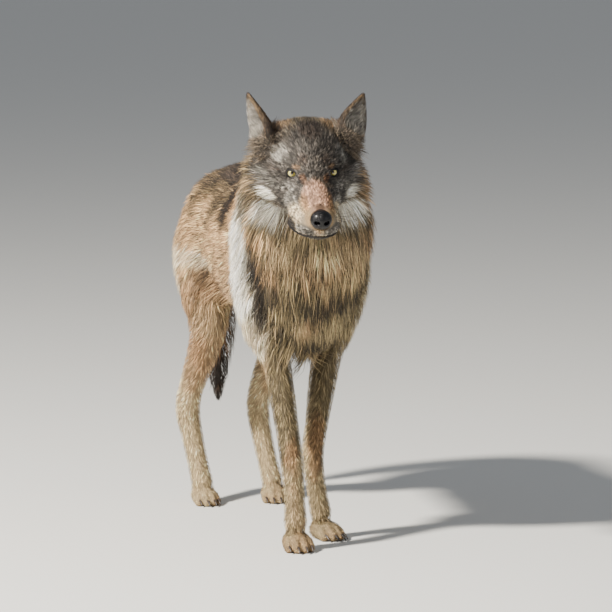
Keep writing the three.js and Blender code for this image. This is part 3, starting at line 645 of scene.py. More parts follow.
# ---------------------------------------------------------------- markings
# Each mark is a soft ellipsoid: centre, radii, hair at the root, hair at the tip, share of the
# hairs that end in dark tips, and how strong it is. A pair of marks has two places across,
# right and left. Head marks are (left, forward, up) in the head's own axes and are mirrored.
BODY_MARKS = (
    ((-4, 90, 760), (165, 420, 130), "straw", "brown", 0.78, 0.9),
    ((-6, 40, 805), (130, 330, 62), "grey", "brown", 0.95, 0.95),
    (((-84, 78), -100, 765), (68, 76, 72), "brown", "dark", 0.95, 0.95),
    (((-122, 114), -44, 722), (44, 48, 72), "brown", "dark", 0.9, 0.95),
    ((-6, -160, 815), (110, 120, 60), "tan", "brown", 0.8, 0.9),
    ((-10, 40, 455), (120, 260, 70), "cream", "cream", 0.15, 1.0),
    (((-150, 142), 190, 577), (56, 120, 22), "white", "cream", 0.2, 0.7),
    (((-140, 130), 110, 530), (60, 100, 34), "tan", "brown", 0.6, 0.8),
    (((-140, 120), 190, 445), (80, 90, 110), "cream", "rust", 0.35, 0.75),
    (((-150, 140), 300, 530), (50, 50, 100), "white", "cream", 0.15, 0.8),
    # The front of the chest: the ruff's own straw tone, partly painted shade under the head.
    ((-6, -320, 560), (190, 150, 190), "straw", "straw", 0.4, 1.0),
    (((-150, 142), -120, 655), (40, 100, 50), "cream", "tan", 0.4, 0.8),
    # The right shoulder stripe on the lit side: real pale hair, made whiter with painted sunlight.
    ((-182, -330, 705), (40, 66, 84), "white", "white", 0.05, 1.0),
    ((-186, -270, 620), (46, 78, 100), "white", "white", 0.04, 1.0),
    ((-168, -270, 520), (52, 84, 96), "white", "white", 0.04, 1.0),
    ((-134, -290, 440), (42, 60, 62), "white", "cream", 0.05, 1.0),
    ((160, -320, 690), (40, 66, 84), "white", "cream", 0.1, 1.0),
    ((158, -250, 600), (46, 78, 100), "white", "cream", 0.1, 1.0),
    ((118, -250, 500), (52, 70, 90), "white", "cream", 0.1, 1.0),
    # Dark lines before the pale shoulder stripes: partly dark-brown hair, partly painted shadow
    # along the edge of the ruff.
    ((-172, -402, 625), (26, 30, 56), "brown", "dark", 0.9, 1.0),
    ((-152, -380, 560), (24, 28, 70), "brown", "dark", 0.9, 1.0),
    ((-132, -350, 490), (20, 26, 60), "brown", "dark", 0.8, 0.9),
    ((122, -396, 585), (26, 30, 100), "brown", "dark", 0.7, 0.8),
    # The front of the neck: straw and olive, partly the ruff's own tone and partly painted shade
    # under the head.
    ((-50, -370, 790), (220, 100, 110), "straw", "olive", 0.6, 0.9),
    ((-40, -480, 650), (110, 90, 46), "straw", "cream", 0.3, 0.7),
    ((-12, 470, 450), (90, 90, 290), "tan", "brown", 0.8, 1.0),
    ((-20, 465, 260), (60, 60, 70), "brown", "dark", 0.9, 1.0),
    (((-105, 60), 330, 190), (70, 120, 220), "cream", "cream", 0.06, 1.0),
    (((-120, 70), 290, 345), (40, 90, 90), "tan", "rust", 0.2, 0.65),
    ((-70, -350, 200), (60, 90, 240), "cream", "straw", 0.2, 1.0),
    ((35, -262, 200), (60, 90, 240), "cream", "straw", 0.2, 1.0),
    ((-80, -360, 340), (44, 70, 170), "straw", "olive", 0.5, 0.9),
    ((42, -280, 340), (44, 70, 170), "straw", "olive", 0.5, 0.9),
    ((-74, -414, 215), (20, 26, 70), "tan", "rust", 0.08, 0.6),
    ((12, -292, 205), (20, 26, 70), "tan", "rust", 0.08, 0.6),
    ((-72, -420, 110), (16, 20, 60), "cream", "rust", 0.05, 0.4),
)
# Dark fringes run round the front of the ruff and rise to its sides. A band is its height in
# the middle, half height and dark share.
RUFF_CURVE, RUFF_MIDDLE = 0.0026, -25
RUFF_BACK, RUFF_TOP, RUFF_FADE = -330, 700, 40
RUFF_BANDS = ((652, 15, 0.5), (588, 11, 0.4), (524, 19, 0.95), (446, 17, 0.95), (408, 12, 0.5))
HEAD_MARKS = (
    ((40, -50, 0), (130, 130, 115), "grey", "grey", 0.66, 1.0),
    ((0, -130, 64), (90, 70, 52), "grey", "olive", 0.7, 1.0),
    ((52, -122, 74), (26, 34, 16), "tan", "tan", 0.5, 0.25),
    ((0, -52, 58), (42, 62, 40), "grey", "grey", 0.84, 1.0),
    ((0, -72, 72), (24, 44, 24), "brown", "dark", 0.85, 0.7),
    ((68, -48, 34), (30, 36, 19), "grey", "silver", 0.5, 0.75),
    ((74, -44, 26), (22, 24, 10), "silver", "silver", 0.4, 0.5),
    ((24, -2, 30), (15, 22, 18), "grey", "brown", 0.6, 0.8),
    ((36, 4, 19), (12, 16, 7), "tan", "tan", 0.4, 0.5),
    ((112, -72, -22), (36, 36, 20), "silver", "grey", 0.72, 1.0),
    ((66, -26, 3), (15, 18, 4), "brown", "dark", 0.6, 0.9),
    ((92, -48, 2), (26, 26, 6), "brown", "dark", 0.5, 0.5),
    ((52, 2, -26), (22, 28, 14), "grey", "silver", 0.6, 0.9),
    ((82, -40, -34), (28, 30, 16), "silver", "grey", 0.66, 0.8),
    ((61, 10, -31), (7, 10, 5), "brown", "dark", 0.9, 0.7),
    ((26, 26, 0), (9, 20, 11), "brown", "rust", 0.35, 0.8),
    ((31, 24, -7), (6, 12, 6), "dark", "dark", 0.6, 0.8),
    ((98, -52, -60), (28, 30, 17), "white", "white", 0.05, 1.0),
    ((114, -64, -84), (44, 52, 11), "olive", "olive", 0.45, 0.85),
    ((86, -46, -122), (62, 80, 34), "white", "white", 0.04, 1.0),
    # Under the jaw: straw and olive, partly the ruff's own tone and partly painted shade under the
    # head.
    ((100, -60, -160), (60, 70, 22), "straw", "olive", 0.45, 0.9),
    ((0, -30, -160), (60, 80, 36), "straw", "olive", 0.4, 0.9),
    ((48, 24, -58), (20, 52, 22), "grey", "silver", 0.5, 0.9),
    ((0, 50, -98), (50, 90, 22), "white", "cream", 0.1, 1.0),
    ((40, 60, -68), (22, 80, 20), "silver", "cream", 0.5, 0.95),
    ((0, 14, 6), (22, 24, 12), "grey", "grey", 0.6, 0.8),
    ((0, 74, -22), (27, 76, 32), "pink", "pink", 0.06, 0.95),
    ((27, 70, -34), (7, 52, 13), "tan", "rust", 0.2, 0.6),
    ((0, 114, -33), (11, 12, 8), "brown", "brown", 0.3, 0.7),
    ((24, 104, -82), (26, 36, 15), "grey", "silver", 0.74, 0.95),
    ((51, 52, -88), (14, 30, 14), "dark", "dark", 0.9, 0.95),
    # A dark band along the edge of the lower lip and chin: partly the dark lip, partly painted shade
    # under the chin.
    ((0, 112, -101), (46, 34, 7), "dark", "dark", 0.9, 0.9),
    # Dark skin inside the nose pad, seen through the nostrils: painted shade deep in them.
    ((0, 128, -58), (22, 18, 20), "dark", "dark", 0.9, 1.0),
)


def mark_weight(q):
    """1 in a mark's middle, easing to 0 just past its radii."""
    t = np.clip((1.22 - q) / 0.5, 0, 1)
    return t * t * (3 - 2 * t)


def single_marks(marks):
    """Each pair of marks as two, the right one first."""
    for (across, *place), *rest in marks:
        for x in across if isinstance(across, tuple) else (across,):
            yield ((x, *place), *rest)


def marked(points):
    """Root colour, tip colour and dark share of the hair at each point."""
    colours = palette()
    n = len(points)
    root = np.tile(colours["cream"], (n, 1))
    tip = np.tile(colours["tan"], (n, 1))
    dark = np.full(n, 0.4)
    wander = 0.5 * (noise(points, 42, SEED) - 0.5) + 0.5 * (noise(points, 15, SEED + 5) - 0.5)
    head = to_head(points)
    head[:, 0] = np.abs(head[:, 0])
    for marks, where, roam in ((BODY_MARKS, points, wander), (HEAD_MARKS, head, wander * 0.6)):
        for centre, radii, root_name, tip_name, share, strength in single_marks(marks):
            q = np.sqrt((((where - centre) / np.array(radii, float)) ** 2).sum(1)) + roam
            weight = mark_weight(q) * strength
            root += (colours[root_name] - root) * weight[:, None]
            tip += (colours[tip_name] - tip) * weight[:, None]
            dark += (share - dark) * weight
    sway = 34 * (noise(points, 46, SEED + 8) - 0.5) + 20 * (noise(points, 17, SEED + 9) - 0.5)
    arc = points[:, 2] - RUFF_CURVE * (points[:, 0] - RUFF_MIDDLE) ** 2 + sway
    ahead = np.clip((RUFF_BACK - points[:, 1]) / RUFF_FADE, 0, 1)
    front = ahead * np.clip((RUFF_TOP - points[:, 2]) / RUFF_FADE, 0, 1)
    for height, half, share in RUFF_BANDS:
        weight = np.exp(-((arc - height) / half) ** 2) * front
        dark += (share - dark) * weight
        tip += (colours["olive"] - tip) * (0.8 * weight)[:, None]
        root += (colours["olive"] - root) * (0.35 * weight * share)[:, None]
    return root, tip, dark


# ---------------------------------------------------------------- meshes and materials
def mesh_of(name, points, faces):
    """An object from points in millimetres and an array of equal-sized faces."""
    faces = np.asarray(faces, np.int32)
    mesh = bpy.data.meshes.new(name)
    mesh.vertices.add(len(points))
    mesh.vertices.foreach_set("co", np.asarray(metres(points), np.float32).ravel())
    mesh.loops.add(faces.size)
    mesh.loops.foreach_set("vertex_index", faces.ravel())
    mesh.polygons.add(len(faces))
    mesh.polygons.foreach_set("loop_start", np.arange(0, faces.size, faces.shape[1], dtype=np.int32))
    mesh.polygons.foreach_set("use_smooth", np.ones(len(faces), bool))
    mesh.update(calc_edges=True)
    return object_of(name, mesh)


def joined(pieces):
    """Points and faces of several meshes as one."""
    points, faces, start = [], [], 0
    for p, f in pieces:
        points.append(p)
        faces.append(np.asarray(f) + start)
        start += len(p)
    return np.concatenate(points), np.concatenate(faces)


def keep(mesh, name, kind, values):
    """Stores a value, way or colour for each point of a mesh."""
    made = mesh.attributes.new(name, kind, "POINT")
    field = {"FLOAT": "value", "INT": "value", "FLOAT_VECTOR": "vector"}.get(kind, "color")
    values = np.asarray(values)
    if field == "color":
        values = np.concatenate([values, np.ones((len(values), 1))], 1)
    dtype = np.int32 if kind == "INT" else np.float32
    made.data.foreach_set(field, values.astype(dtype).ravel())


def read(mesh, name):
    """The values or ways that keep stored."""
    layer = mesh.attributes[name]
    if layer.data_type == "FLOAT_VECTOR":
        values = np.zeros(len(mesh.vertices) * 3)
        layer.data.foreach_get("vector", values)
        return values.reshape(-1, 3)
    values = np.zeros(len(mesh.vertices), np.int32 if layer.data_type == "INT" else float)
    layer.data.foreach_get("value", values)
    return values


def object_of(name, data):
    """A new object in the scene that shows a mesh, a light or a camera."""
    made = bpy.data.objects.new(name, data)
    bpy.context.scene.collection.objects.link(made)
    return made


def fix_normals(mesh):
    """Turns every face outwards."""
    b = bmesh.new()
    b.from_mesh(mesh)
    bmesh.ops.recalc_face_normals(b, faces=b.faces)
    b.to_mesh(mesh)
    b.free()
    mesh.update()


def finish_piece(piece, material, slot, *nodes):
    """Gives a piece its finish, hangs it on the root body, and hides the nodes it stands for."""
    piece.data.materials.append(material)
    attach(piece, "root")
    if nodes:
        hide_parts(*nodes)
    return piece


class Finish:
    """A node material in the making."""

    def __init__(self, name, colour, roughness, **inputs):
        self.material = bpy.data.materials.new(name)
        self.material.use_nodes = True
        self.tree = self.material.node_tree
        self.shader = self.tree.nodes["Principled BSDF"]
        self.shader.inputs["Base Color"].default_value = (*linear(colour), 1)
        self.shader.inputs["Roughness"].default_value = roughness
        for key, value in inputs.items():
            self.shader.inputs[key.replace("_", " ")].default_value = value
        self.place = self.add("ShaderNodeTexCoord").outputs["Object"]

    def add(self, kind, **settings):
        """A new node with its settings."""
        node = self.tree.nodes.new(kind)
        for key, value in settings.items():
            setattr(node, key, value)
        return node

    def link(self, a, b):
        self.tree.links.new(a, b)

    def noise(self, scale, detail=3.0, stretch=None):
        """Noise on the piece's own places, in features to the metre."""
        made = self.add("ShaderNodeTexNoise")
        made.inputs["Scale"].default_value = scale
        made.inputs["Detail"].default_value = detail
        place = self.place
        if stretch:
            mapping = self.add("ShaderNodeMapping")
            mapping.inputs["Scale"].default_value = stretch
            self.link(place, mapping.inputs["Vector"])
            place = mapping.outputs["Vector"]
        self.link(place, made.inputs["Vector"])
        return made.outputs["Fac"]

    def ramp(self, fac, stops):
        """Colours along a value: screen colours of three numbers, or linear ones of four."""
        made = self.add("ShaderNodeValToRGB")
        band = made.color_ramp
        while len(band.elements) < len(stops):
            band.elements.new(0.5)
        for element, (at, colour) in zip(band.elements, stops):
            element.position = at
            element.color = (*linear(colour), 1) if len(colour) == 3 else colour
        self.link(fac, made.inputs["Fac"])
        return made.outputs["Color"]

    def mix(self, fac, a, b, kind="MIX"):
        """Two colours mixed or multiplied, each a socket or three numbers."""
        made = self.add("ShaderNodeMix", data_type="RGBA", blend_type=kind)
        for socket, value in ((made.inputs["Factor"], fac), (made.inputs[6], a),
                              (made.inputs[7], b)):
            if hasattr(value, "is_linked"):
                self.link(value, socket)
            elif isinstance(value, float):
                socket.default_value = value
            else:
                socket.default_value = (*value, 1)
        return made.outputs[2]

    def scaled(self, fac, low, high):
        """A value from 0 to 1 brought between two others."""
        made = self.add("ShaderNodeMapRange")
        made.inputs["To Min"].default_value = low
        made.inputs["To Max"].default_value = high
        self.link(fac, made.inputs["Value"])
        return made.outputs["Result"]

    def attribute(self, name, out="Color"):
        """What the mesh keeps at each point."""
        return self.add("ShaderNodeAttribute", attribute_name=name).outputs[out]

    def bump(self, height, strength, distance, under=None):
        """Bumps on the surface, over other ones if there are any."""
        made = self.add("ShaderNodeBump")
        made.inputs["Strength"].default_value = strength
        made.inputs["Distance"].default_value = distance
        self.link(height, made.inputs["Height"])
        if under:
            self.link(under, made.inputs["Normal"])
        self.link(made.outputs["Normal"], self.shader.inputs["Normal"])
        return made.outputs["Normal"]


def toned(colour, share):
    """A colour made darker or paler."""
    return tuple(min(c * share, 1) for c in colour)


def coat_finish(name, roughness=0.62):
    """Hair: the tuft's own colour, broken up along its length."""
    made = Finish(name, (0.5, 0.5, 0.5), roughness, Specular_IOR_Level=0.35)
    colour = made.attribute("Hair")
    fine = made.scaled(made.noise(900, 2), 0.78, 1.2)
    shade = made.add("ShaderNodeCombineColor")
    for socket in shade.inputs[:3]:
        made.link(fine, socket)
    made.link(made.mix(1.0, colour, shade.outputs["Color"], "MULTIPLY"),
              made.shader.inputs["Base Color"])
    made.link(made.scaled(made.noise(260, 2), roughness - 0.08, roughness + 0.12),
              made.shader.inputs["Roughness"])
    return made.material


def hide_finish():
    """The skin under the coat, with short hair as fine streaks and bumps."""
    made = Finish("wolf_hide", (0.5, 0.5, 0.5), 0.75, Specular_IOR_Level=0.25)
    fine = made.noise(700, 4)
    shade = made.ramp(fine, [(0.3, (0.55, 0.55, 0.55)), (0.7, (1.0, 1.0, 1.0))])
    made.link(made.mix(1.0, made.attribute("Hair"), shade, "MULTIPLY"),
              made.shader.inputs["Base Color"])
    made.bump(fine, 0.6, 0.0008, made.bump(made.noise(160, 3), 0.35, 0.0015))
    return made.material


# ---------------------------------------------------------------- the skin
def edges_of(quads):
    """Each edge of the quads once, as two point numbers."""
    pairs = np.concatenate([quads[:, [n, (n + 1) % 4]] for n in range(4)])
    return np.unique(np.sort(pairs, axis=1), axis=0)


def spread(values, edges, rounds):
    """Values smoothed over neighbouring points."""
    n = len(values)
    a, b = edges.T
    count = np.bincount(a, minlength=n) + np.bincount(b, minlength=n)
    for _ in range(rounds):
        total = np.stack([np.bincount(a, values[b, c], n) + np.bincount(b, values[a, c], n)
                          for c in range(values.shape[1])], -1)
        values = 0.5 * values + 0.5 * total / np.maximum(count, 1)[:, None]
    return values


def settle(points, bare):
    """Points moved onto the field's surface, with the way out at each."""
    for _ in range(2):
        out = slopes(points, bare)
        points = points - out * np.clip(field_on_points(points, bare), -3, 3)[:, None]
    return points, slopes(points, bare)


def lie_of(points, out):
    """The way the hair lies at each point of the skin, and the part it belongs to."""
    total = np.zeros_like(points)
    best = np.full(len(points), -1.0)
    part = np.zeros(len(points), np.int32)
    for chain in FLESH:
        near, d, way = chain_on_points(chain, points, 1.0, ways=True)
        if not len(near):
            continue
        weight = np.exp(-np.clip(d, -60, 60) / 9)
        flow = unit(chain.lie + chain.along * way)
        total[near] += flow * weight[:, None]
        stronger = weight > best[near]
        best[near[stronger]] = weight[stronger]
        part[near[stronger]] = PARTS.index(chain.part)
    total = unit(total)
    total -= out * (total * out).sum(1)[:, None]
    return total, part


def flat_on(ways, out):
    """Ways laid flat on the surface."""
    ways = ways - out * (ways * out).sum(1)[:, None]
    return unit(ways)


# Runs of the skin's grid along each axis: from, to and step, finest at the head and paws.
SKIN_GRID = (((-216, -150, 5), (-150, 12, 3), (12, 196, 5)),
             ((-746, -520, 3), (-520, -400, 4.5), (-400, 566, 7)),
             ((-7, 77, 3.5), (77, 700, 7), (700, 1004, 3)))
# Limits of the coat's depth in millimetres.
LEAST_COAT, MOST_COAT = 0.8, 90


def make_skin():
    """One closed skin, inside the hair tips by the coat's depth, which keeps the lie of the hair."""
    axes = [grid_line(*runs) for runs in SKIN_GRID]
    field, (x, y, z) = field_on_grid(axes, FLESH, HOLLOWS, 1.0)
    field = np.maximum(field, open_eye(x, y, z))
    field = np.maximum(field, -z).astype(np.float32)
    field[0], field[-1], field[:, 0], field[:, -1] = 1, 1, 1, 1
    field[:, :, 0], field[:, :, -1] = 1, 1
    points, quads = net_of(axes, field)
    points, out = settle(points, 1.0)
    depth = np.clip(-field_on_points(points, 0.0), LEAST_COAT, MOST_COAT)
    ways, part = lie_of(points, out)
    edges = edges_of(quads)
    for _ in range(4):
        ways = flat_on(spread(ways, edges, 4), out)
    depth = spread(depth[:, None], edges, 3)[:, 0]
    skin = mesh_of("skin", points, quads)
    root, tip, dark = marked(points)
    shade = 0.55 + 0.3 * noise(points, 9, 3)
    hair = (root * 0.5 + tip * 0.5) * (1 - 0.35 * dark)[:, None] * shade[:, None]
    keep(skin.data, "Hair", "FLOAT_COLOR", hair)
    keep(skin.data, "depth", "FLOAT", depth)
    keep(skin.data, "lie", "FLOAT_VECTOR", ways)
    keep(skin.data, "out", "FLOAT_VECTOR", out)
    keep(skin.data, "part", "INT", part)
    return skin


# ---------------------------------------------------------------- tufts
# One tuft: three points at the root (0-2), three at the middle (3-5) and a tip (6).
TUFT = np.array([(0, 1, 2), (0, 4, 1), (0, 3, 4), (1, 5, 2), (1, 4, 5), (2, 3, 0), (2, 5, 3),
                 (3, 6, 4), (4, 6, 5), (5, 6, 3)])
# The place of each corner on the tuft's own patch of the OFBake map, from 0 to 1 each way.
TUFT_PATCH = np.array([
    [(0, 0), (1, 0), (0.5, 0.08)],
    [(0, 0.08), (0.33, 0.55), (0.33, 0.08)], [(0, 0.08), (0, 0.55), (0.33, 0.55)],
    [(0.33, 0.08), (0.66, 0.55), (0.66, 0.08)], [(0.33, 0.08), (0.33, 0.55), (0.66, 0.55)],
    [(0.66, 0.08), (1, 0.55), (1, 0.08)], [(0.66, 0.08), (0.66, 0.55), (1, 0.55)],
    [(0, 0.55), (0.16, 1), (0.33, 0.55)], [(0.33, 0.55), (0.5, 1), (0.66, 0.55)],
    [(0.66, 0.55), (0.83, 1), (1, 0.55)]])
# The size of a patch on the map, and the margin round them all.
PATCH = 0.003
PATCH_EDGE = 0.002
# Most millimetres that a root goes into the skin, and how dark the hair is painted there, as painted
# shade deep in the coat.
ROOT_SINK = 1.2
ROOT_SHADE = 0.42
OVER_FLOOR = 0.3
# Millimetres that every tuft has, and the spread of its length.
SHORTEST = 1.5
LENGTH_SPREAD = (0.8, 1.2)
# A tuft's width: least, growth with the coat's depth, and spread.
LEAST_WIDTH, WIDTH_SHARE = 0.6, 0.022
WIDTH_SPREAD = (0.8, 1.25)
# Turns from the lie in radians: of each tuft, of whole patches of this size, and about itself.
STRAY = 0.16
SWIRL, SWIRL_SIZE = 0.5, 60
ROLL = 0.5
# How far the surface seems to turn away from the middle of its lock.
LOCK_ROUNDING = 0.85


def skin_samples(chosen, spacing, most, rng):
    """Roots spread evenly over the chosen points of the skin: place, out, lie and depth."""
    mesh = bpy.data.objects["skin"].data
    points = np.zeros(len(mesh.vertices) * 3)
    mesh.vertices.foreach_get("co", points)
    points = millimetres(points.reshape(-1, 3))
    out, ways, depth, part = (read(mesh, name) for name in ("out", "lie", "depth", "part"))
    quads = np.zeros(len(mesh.loops), np.int32)
    mesh.loops.foreach_get("vertex_index", quads)
    quads = quads.reshape(-1, 4)
    tris = np.concatenate([quads[:, [0, 1, 2]], quads[:, [0, 2, 3]]], 1).reshape(-1, 3)
    middle = points[tris].mean(1)
    use = chosen(middle, part[tris[:, 0]])
    tris = tris[use]
    a, b, c = points[tris[:, 0]], points[tris[:, 1]], points[tris[:, 2]]
    area = 0.5 * np.linalg.norm(np.cross(b - a, c - a), axis=1)
    share = area / spacing(depth[tris].mean(1)) ** 2
    wanted = min(int(share.sum()), most)
    line = np.cumsum(share)
    pick = (np.arange(wanted) + rng.random(wanted)) / max(wanted, 1) * line[-1]
    at = np.minimum(np.searchsorted(line, pick), len(tris) - 1)
    u, v = rng.random(wanted), rng.random(wanted)
    fold = u + v > 1
    u[fold], v[fold] = 1 - u[fold], 1 - v[fold]
    weight = np.stack([1 - u - v, u, v], -1)[:, :, None]
    t = tris[at]

    def between(values):
        """Values of the triangles' corners at the roots."""
        return (values[t] * weight).sum(1)
    return (between(points), unit(between(out)), unit(between(ways)),
            between(depth[:, None])[:, 0])


def into_locks(roots, out, scale, seed):
    """For each root: the way to the middle of its lock, the same as a share of the lock's size
    but outwards, how near the lock's edge it is, which sets the painted shade between locks,
    and the lock's tone."""
    centre, tone = locks(roots, scale, seed)
    pull = centre - roots
    pull -= out * (pull * out).sum(1)[:, None]
    lean = -pull / scale
    edge = np.clip(1.5 * np.linalg.norm(lean, axis=1) - 0.25, 0, 1)
    far = np.maximum(np.linalg.norm(pull, axis=1), 1e-6)
    return pull * np.minimum(1, 0.8 * scale / far)[:, None], lean, edge, tone


def tuft_tips(roots, out, way, pull, depth, long, height):
    """Where the tufts end: along the lie, and at the coat's own level over the skin."""
    run = np.sqrt(np.maximum(long ** 2 - height ** 2, (0.3 * long) ** 2))
    tip = roots + way * run[:, None] + out * height[:, None] + pull * sizes().lock
    for _ in range(2):
        miss = field_on_points(tip, 0.0, hollowed=False) - (height - depth)
        tip = tip - out * np.clip(miss, -0.6 * long, 0.9 * long)[:, None] * 0.9
    tip[:, 2] += np.maximum(OVER_FLOOR - tip[:, 2], 0)
    return tip


def tuft_points(roots, tip, out, depth, wide, rolled):
    """The seven points of each tuft, and the way that its surface faces at each."""
    base = roots - out * np.minimum(ROOT_SINK, depth * 0.4)[:, None]
    chord = tip - base
    middle = base + chord * 0.5 + out * (0.15 * np.linalg.norm(chord, axis=1))[:, None]
    early, late = unit(middle - base), unit(tip - middle)
    right = unit(np.cross(chord, out))
    up = unit(np.cross(right, unit(chord)))
    c, s = np.cos(rolled)[:, None], np.sin(rolled)[:, None]
    right, up = right * c + up * s, up * c - right * s
    half, tall = (wide * 0.5)[:, None], (wide * 0.32)[:, None]
    points = np.stack([
        base - right * half * 0.8, base + right * half * 0.8, base + up * tall,
        middle - right * half, middle + right * half, middle + up * tall, tip], 1)
    sides = np.stack([
        out * 0.9 - right * 0.55, out * 0.9 + right * 0.55, out,
        out * 0.9 - right * 0.6 + early * 0.1, out * 0.9 + right * 0.6 + early * 0.1, out,
        out + late * 0.25], 1)
    return points, sides


def tuft_colours(root, end, dark, tone, fleck, edge, speckle, rng):
    """The colours of each tuft's seven points: darkened at the root and at the lock's edges as
    painted shade, and dark-tipped in flecks.
    """
    n = len(root)
    darks = palette()["dark"]
    tipped = np.clip(0.5 + 2.2 * (dark - 0.35 - 0.5 * fleck), 0.02, 0.98) > rng.random(n)
    tipped &= dark > 0.01
    # Tufts near the edges of their locks are darkened: painted shade in the gaps between locks.
    shade = np.exp(2.6 * speckle * (0.4 * tone + 0.6 * fleck - 0.52)) * (1 - 0.42 * edge)
    shade = shade * rng.uniform(0.88, 1.12, n)
    grey = 1 + rng.normal(0, 0.02, (n, 3))
    root, end = root * shade[:, None] * grey, end * shade[:, None] * grey
    blend = np.where(tipped, 0.5, 0.0)[:, None]
    middle = (root * 0.45 + end * 0.55) * (1 - blend) + darks * blend
    end = np.where(tipped[:, None], darks, end)
    colours = np.stack([root * ROOT_SHADE] * 3 + [middle] * 3 + [end], 1)
    return np.clip(colours.reshape(-1, 3), 0.002, 1)


def lay_patches(piece, place):
    """The OFBake map: a small patch for each tuft, at its root's place on an unwrap."""
    low, high = place.min(0), place.max(0)
    place = PATCH_EDGE + (place - low) / (high - low) * (1 - 2 * PATCH_EDGE - PATCH)
    corner = place[:, None, None] + TUFT_PATCH[None] * PATCH
    layer = piece.data.uv_layers.new(name="OFBake")
    layer.data.foreach_set("uv", corner.astype(np.float32).ravel())


def body_locks(depth):
    """The size of the locks on the body."""
    return 3.0 + 0.44 * depth


def tufts(name, chosen, unwrap, spacing, seed, most=None, length=None, rise=(0.82, 1.04),
          lock_size=body_locks, hair=None, speckle=0.95):
    """A coat piece: thin curved tufts that follow the lie, gathered into locks.

    Rise is the least and most height of the tips as a share of the coat's depth, and speckle
    is how far the locks differ in tone."""
    rng = np.random.default_rng(seed)
    roots, out, ways, depth = skin_samples(chosen, spacing, most or sizes().most, rng)
    n = len(roots)
    long = length(depth, roots) if length else sizes().length * depth + SHORTEST
    long = long * rng.uniform(*LENGTH_SPREAD, n)
    wide = (LEAST_WIDTH + WIDTH_SHARE * depth) * rng.uniform(*WIDTH_SPREAD, n)
    swirl = noise(roots, SWIRL_SIZE, seed + 40) - 0.5
    turn = rng.normal(0, STRAY, n) + SWIRL * swirl
    way = unit(ways * np.cos(turn)[:, None] + np.cross(out, ways) * np.sin(turn)[:, None])
    scale = float(np.median(lock_size(depth)))
    pull, lean, edge, tone = into_locks(roots, out, scale, seed + 9)
    fleck = locks(roots, 3.8 + 0.26 * scale, seed + 21)[1]
    height = depth * rng.uniform(*rise, n) * (0.9 + 0.16 * tone)
    tip = tuft_tips(roots, out, way, pull, depth, long, height)
    points, sides = tuft_points(roots, tip, out, depth, wide, rng.normal(0, ROLL, n))
    start = (np.arange(n) * 7)[:, None, None]
    piece = mesh_of(name, points.reshape(-1, 3), (TUFT[None] + start).reshape(-1, 3))
    root, end, dark = (hair or marked)(tip * 0.65 + points[:, 3:5].mean(1) * 0.35)
    colours = tuft_colours(root, end, dark, tone, fleck, edge, speckle, rng)
    keep(piece.data, "Hair", "FLOAT_COLOR", colours)
    lay_patches(piece, unwrap(roots))
    # The surface looks as if it turned away from the lock's middle, so that locks stand out.
    sides = unit(sides + (LOCK_ROUNDING * lean)[:, None])
    piece.data.normals_split_custom_set_from_vertices(sides.reshape(-1, 3).tolist())
    return piece


def body_unwrap(points):
    """Along the body and round it from the spine to the belly."""
    angle = np.arctan2(np.abs(points[:, 0] + 6), points[:, 2] - 630)
    return np.stack([points[:, 1], angle], -1)


def neck_unwrap(points):
    """Up the neck and round it from the nape."""
    along = unit((0.0, -0.62, 0.78))
    q = points - (-30.0, -330.0, 680.0)
    side = np.cross(along, X)
    return np.stack([q @ along, np.arctan2(np.abs(q[:, 0]), -(q @ side))], -1)


def head_unwrap(points):
    """Along the head and round it from the crown."""
    q = to_head(points)
    turn = np.arctan2(np.abs(q[:, 0]), q[:, 2] + 40)
    return np.stack([q[:, 1] - 0.3 * np.abs(q[:, 0]), turn], -1)


def leg_centres(name, heights):
    """The x and y of a leg's middle at each height."""
    chain = next(c for c in FLESH if c.part == name)
    rows = np.array([s[0][:3] for s in chain.segments] + [chain.segments[-1][1][:3]])[::-1]
    return np.stack([np.interp(heights, rows[:, 2], rows[:, n]) for n in (0, 1)], -1)


def leg_unwrap(pair):
    """Round each leg of a pair and down it, the left leg beside the right one."""
    def unwrap(points):
        middles = [leg_centres(f"{pair}_{side}", points[:, 2]) for side in ("right", "left")]
        gaps = [np.linalg.norm(points[:, :2] - m, axis=1) for m in middles]
        left = gaps[1] < gaps[0]
        q = points[:, :2] - np.where(left[:, None], middles[1], middles[0])
        return np.stack([np.arctan2(q[:, 0], -q[:, 1]) / 6.4 + 0.5 + left * 1.02,
                         points[:, 2]], -1)
    return unwrap


def tail_unwrap(points):
    """Round the tail and down it."""
    turn = np.arctan2(points[:, 0] + 14, 470 - points[:, 1])
    return np.stack([turn, points[:, 2]], -1)


def ear_unwrap(points):
    """Round each ear and up it, the left ear beside the right one."""
    q = to_head(points)
    left = q[:, 0] > 0
    s = np.where(left, 1, -1)
    turn = np.arctan2(q[:, 0] * s - 105, q[:, 1] + 120)
    return np.stack([turn / (2 * math.pi) + 0.5 + left * 1.05, q[:, 2]], -1)


# ---------------------------------------------------------------- where each coat piece grows
# The hairless almond round each eye, and the place of the nose pad: from this far ahead and
# over this height in the head's own axes.
BARE = {"outer": 13.4, "inner": 15.4, "half": 10.2, "reach": 26, "nose_from": 108,
        "nose_over": -76}
# No hair grows lower than this.
SOLE_HEIGHT = 4


def clear_of_face(middle):
    """Away from the eyes and the nose pad."""
    free = np.ones(len(middle), bool)
    for (_, s), centre in zip(SIDES, EYES):
        _, across, up = eye_frame(s)
        q = middle - centre
        a, b = q @ across, q @ up
        inside = in_slot(a, b, BARE["outer"], BARE["inner"], BARE["half"]) < 1
        free &= ~(inside & (np.linalg.norm(q, axis=1) < BARE["reach"]))
    q = to_head(middle)
    return free & ~((q[:, 1] > BARE["nose_from"]) & (q[:, 2] > BARE["nose_over"]))


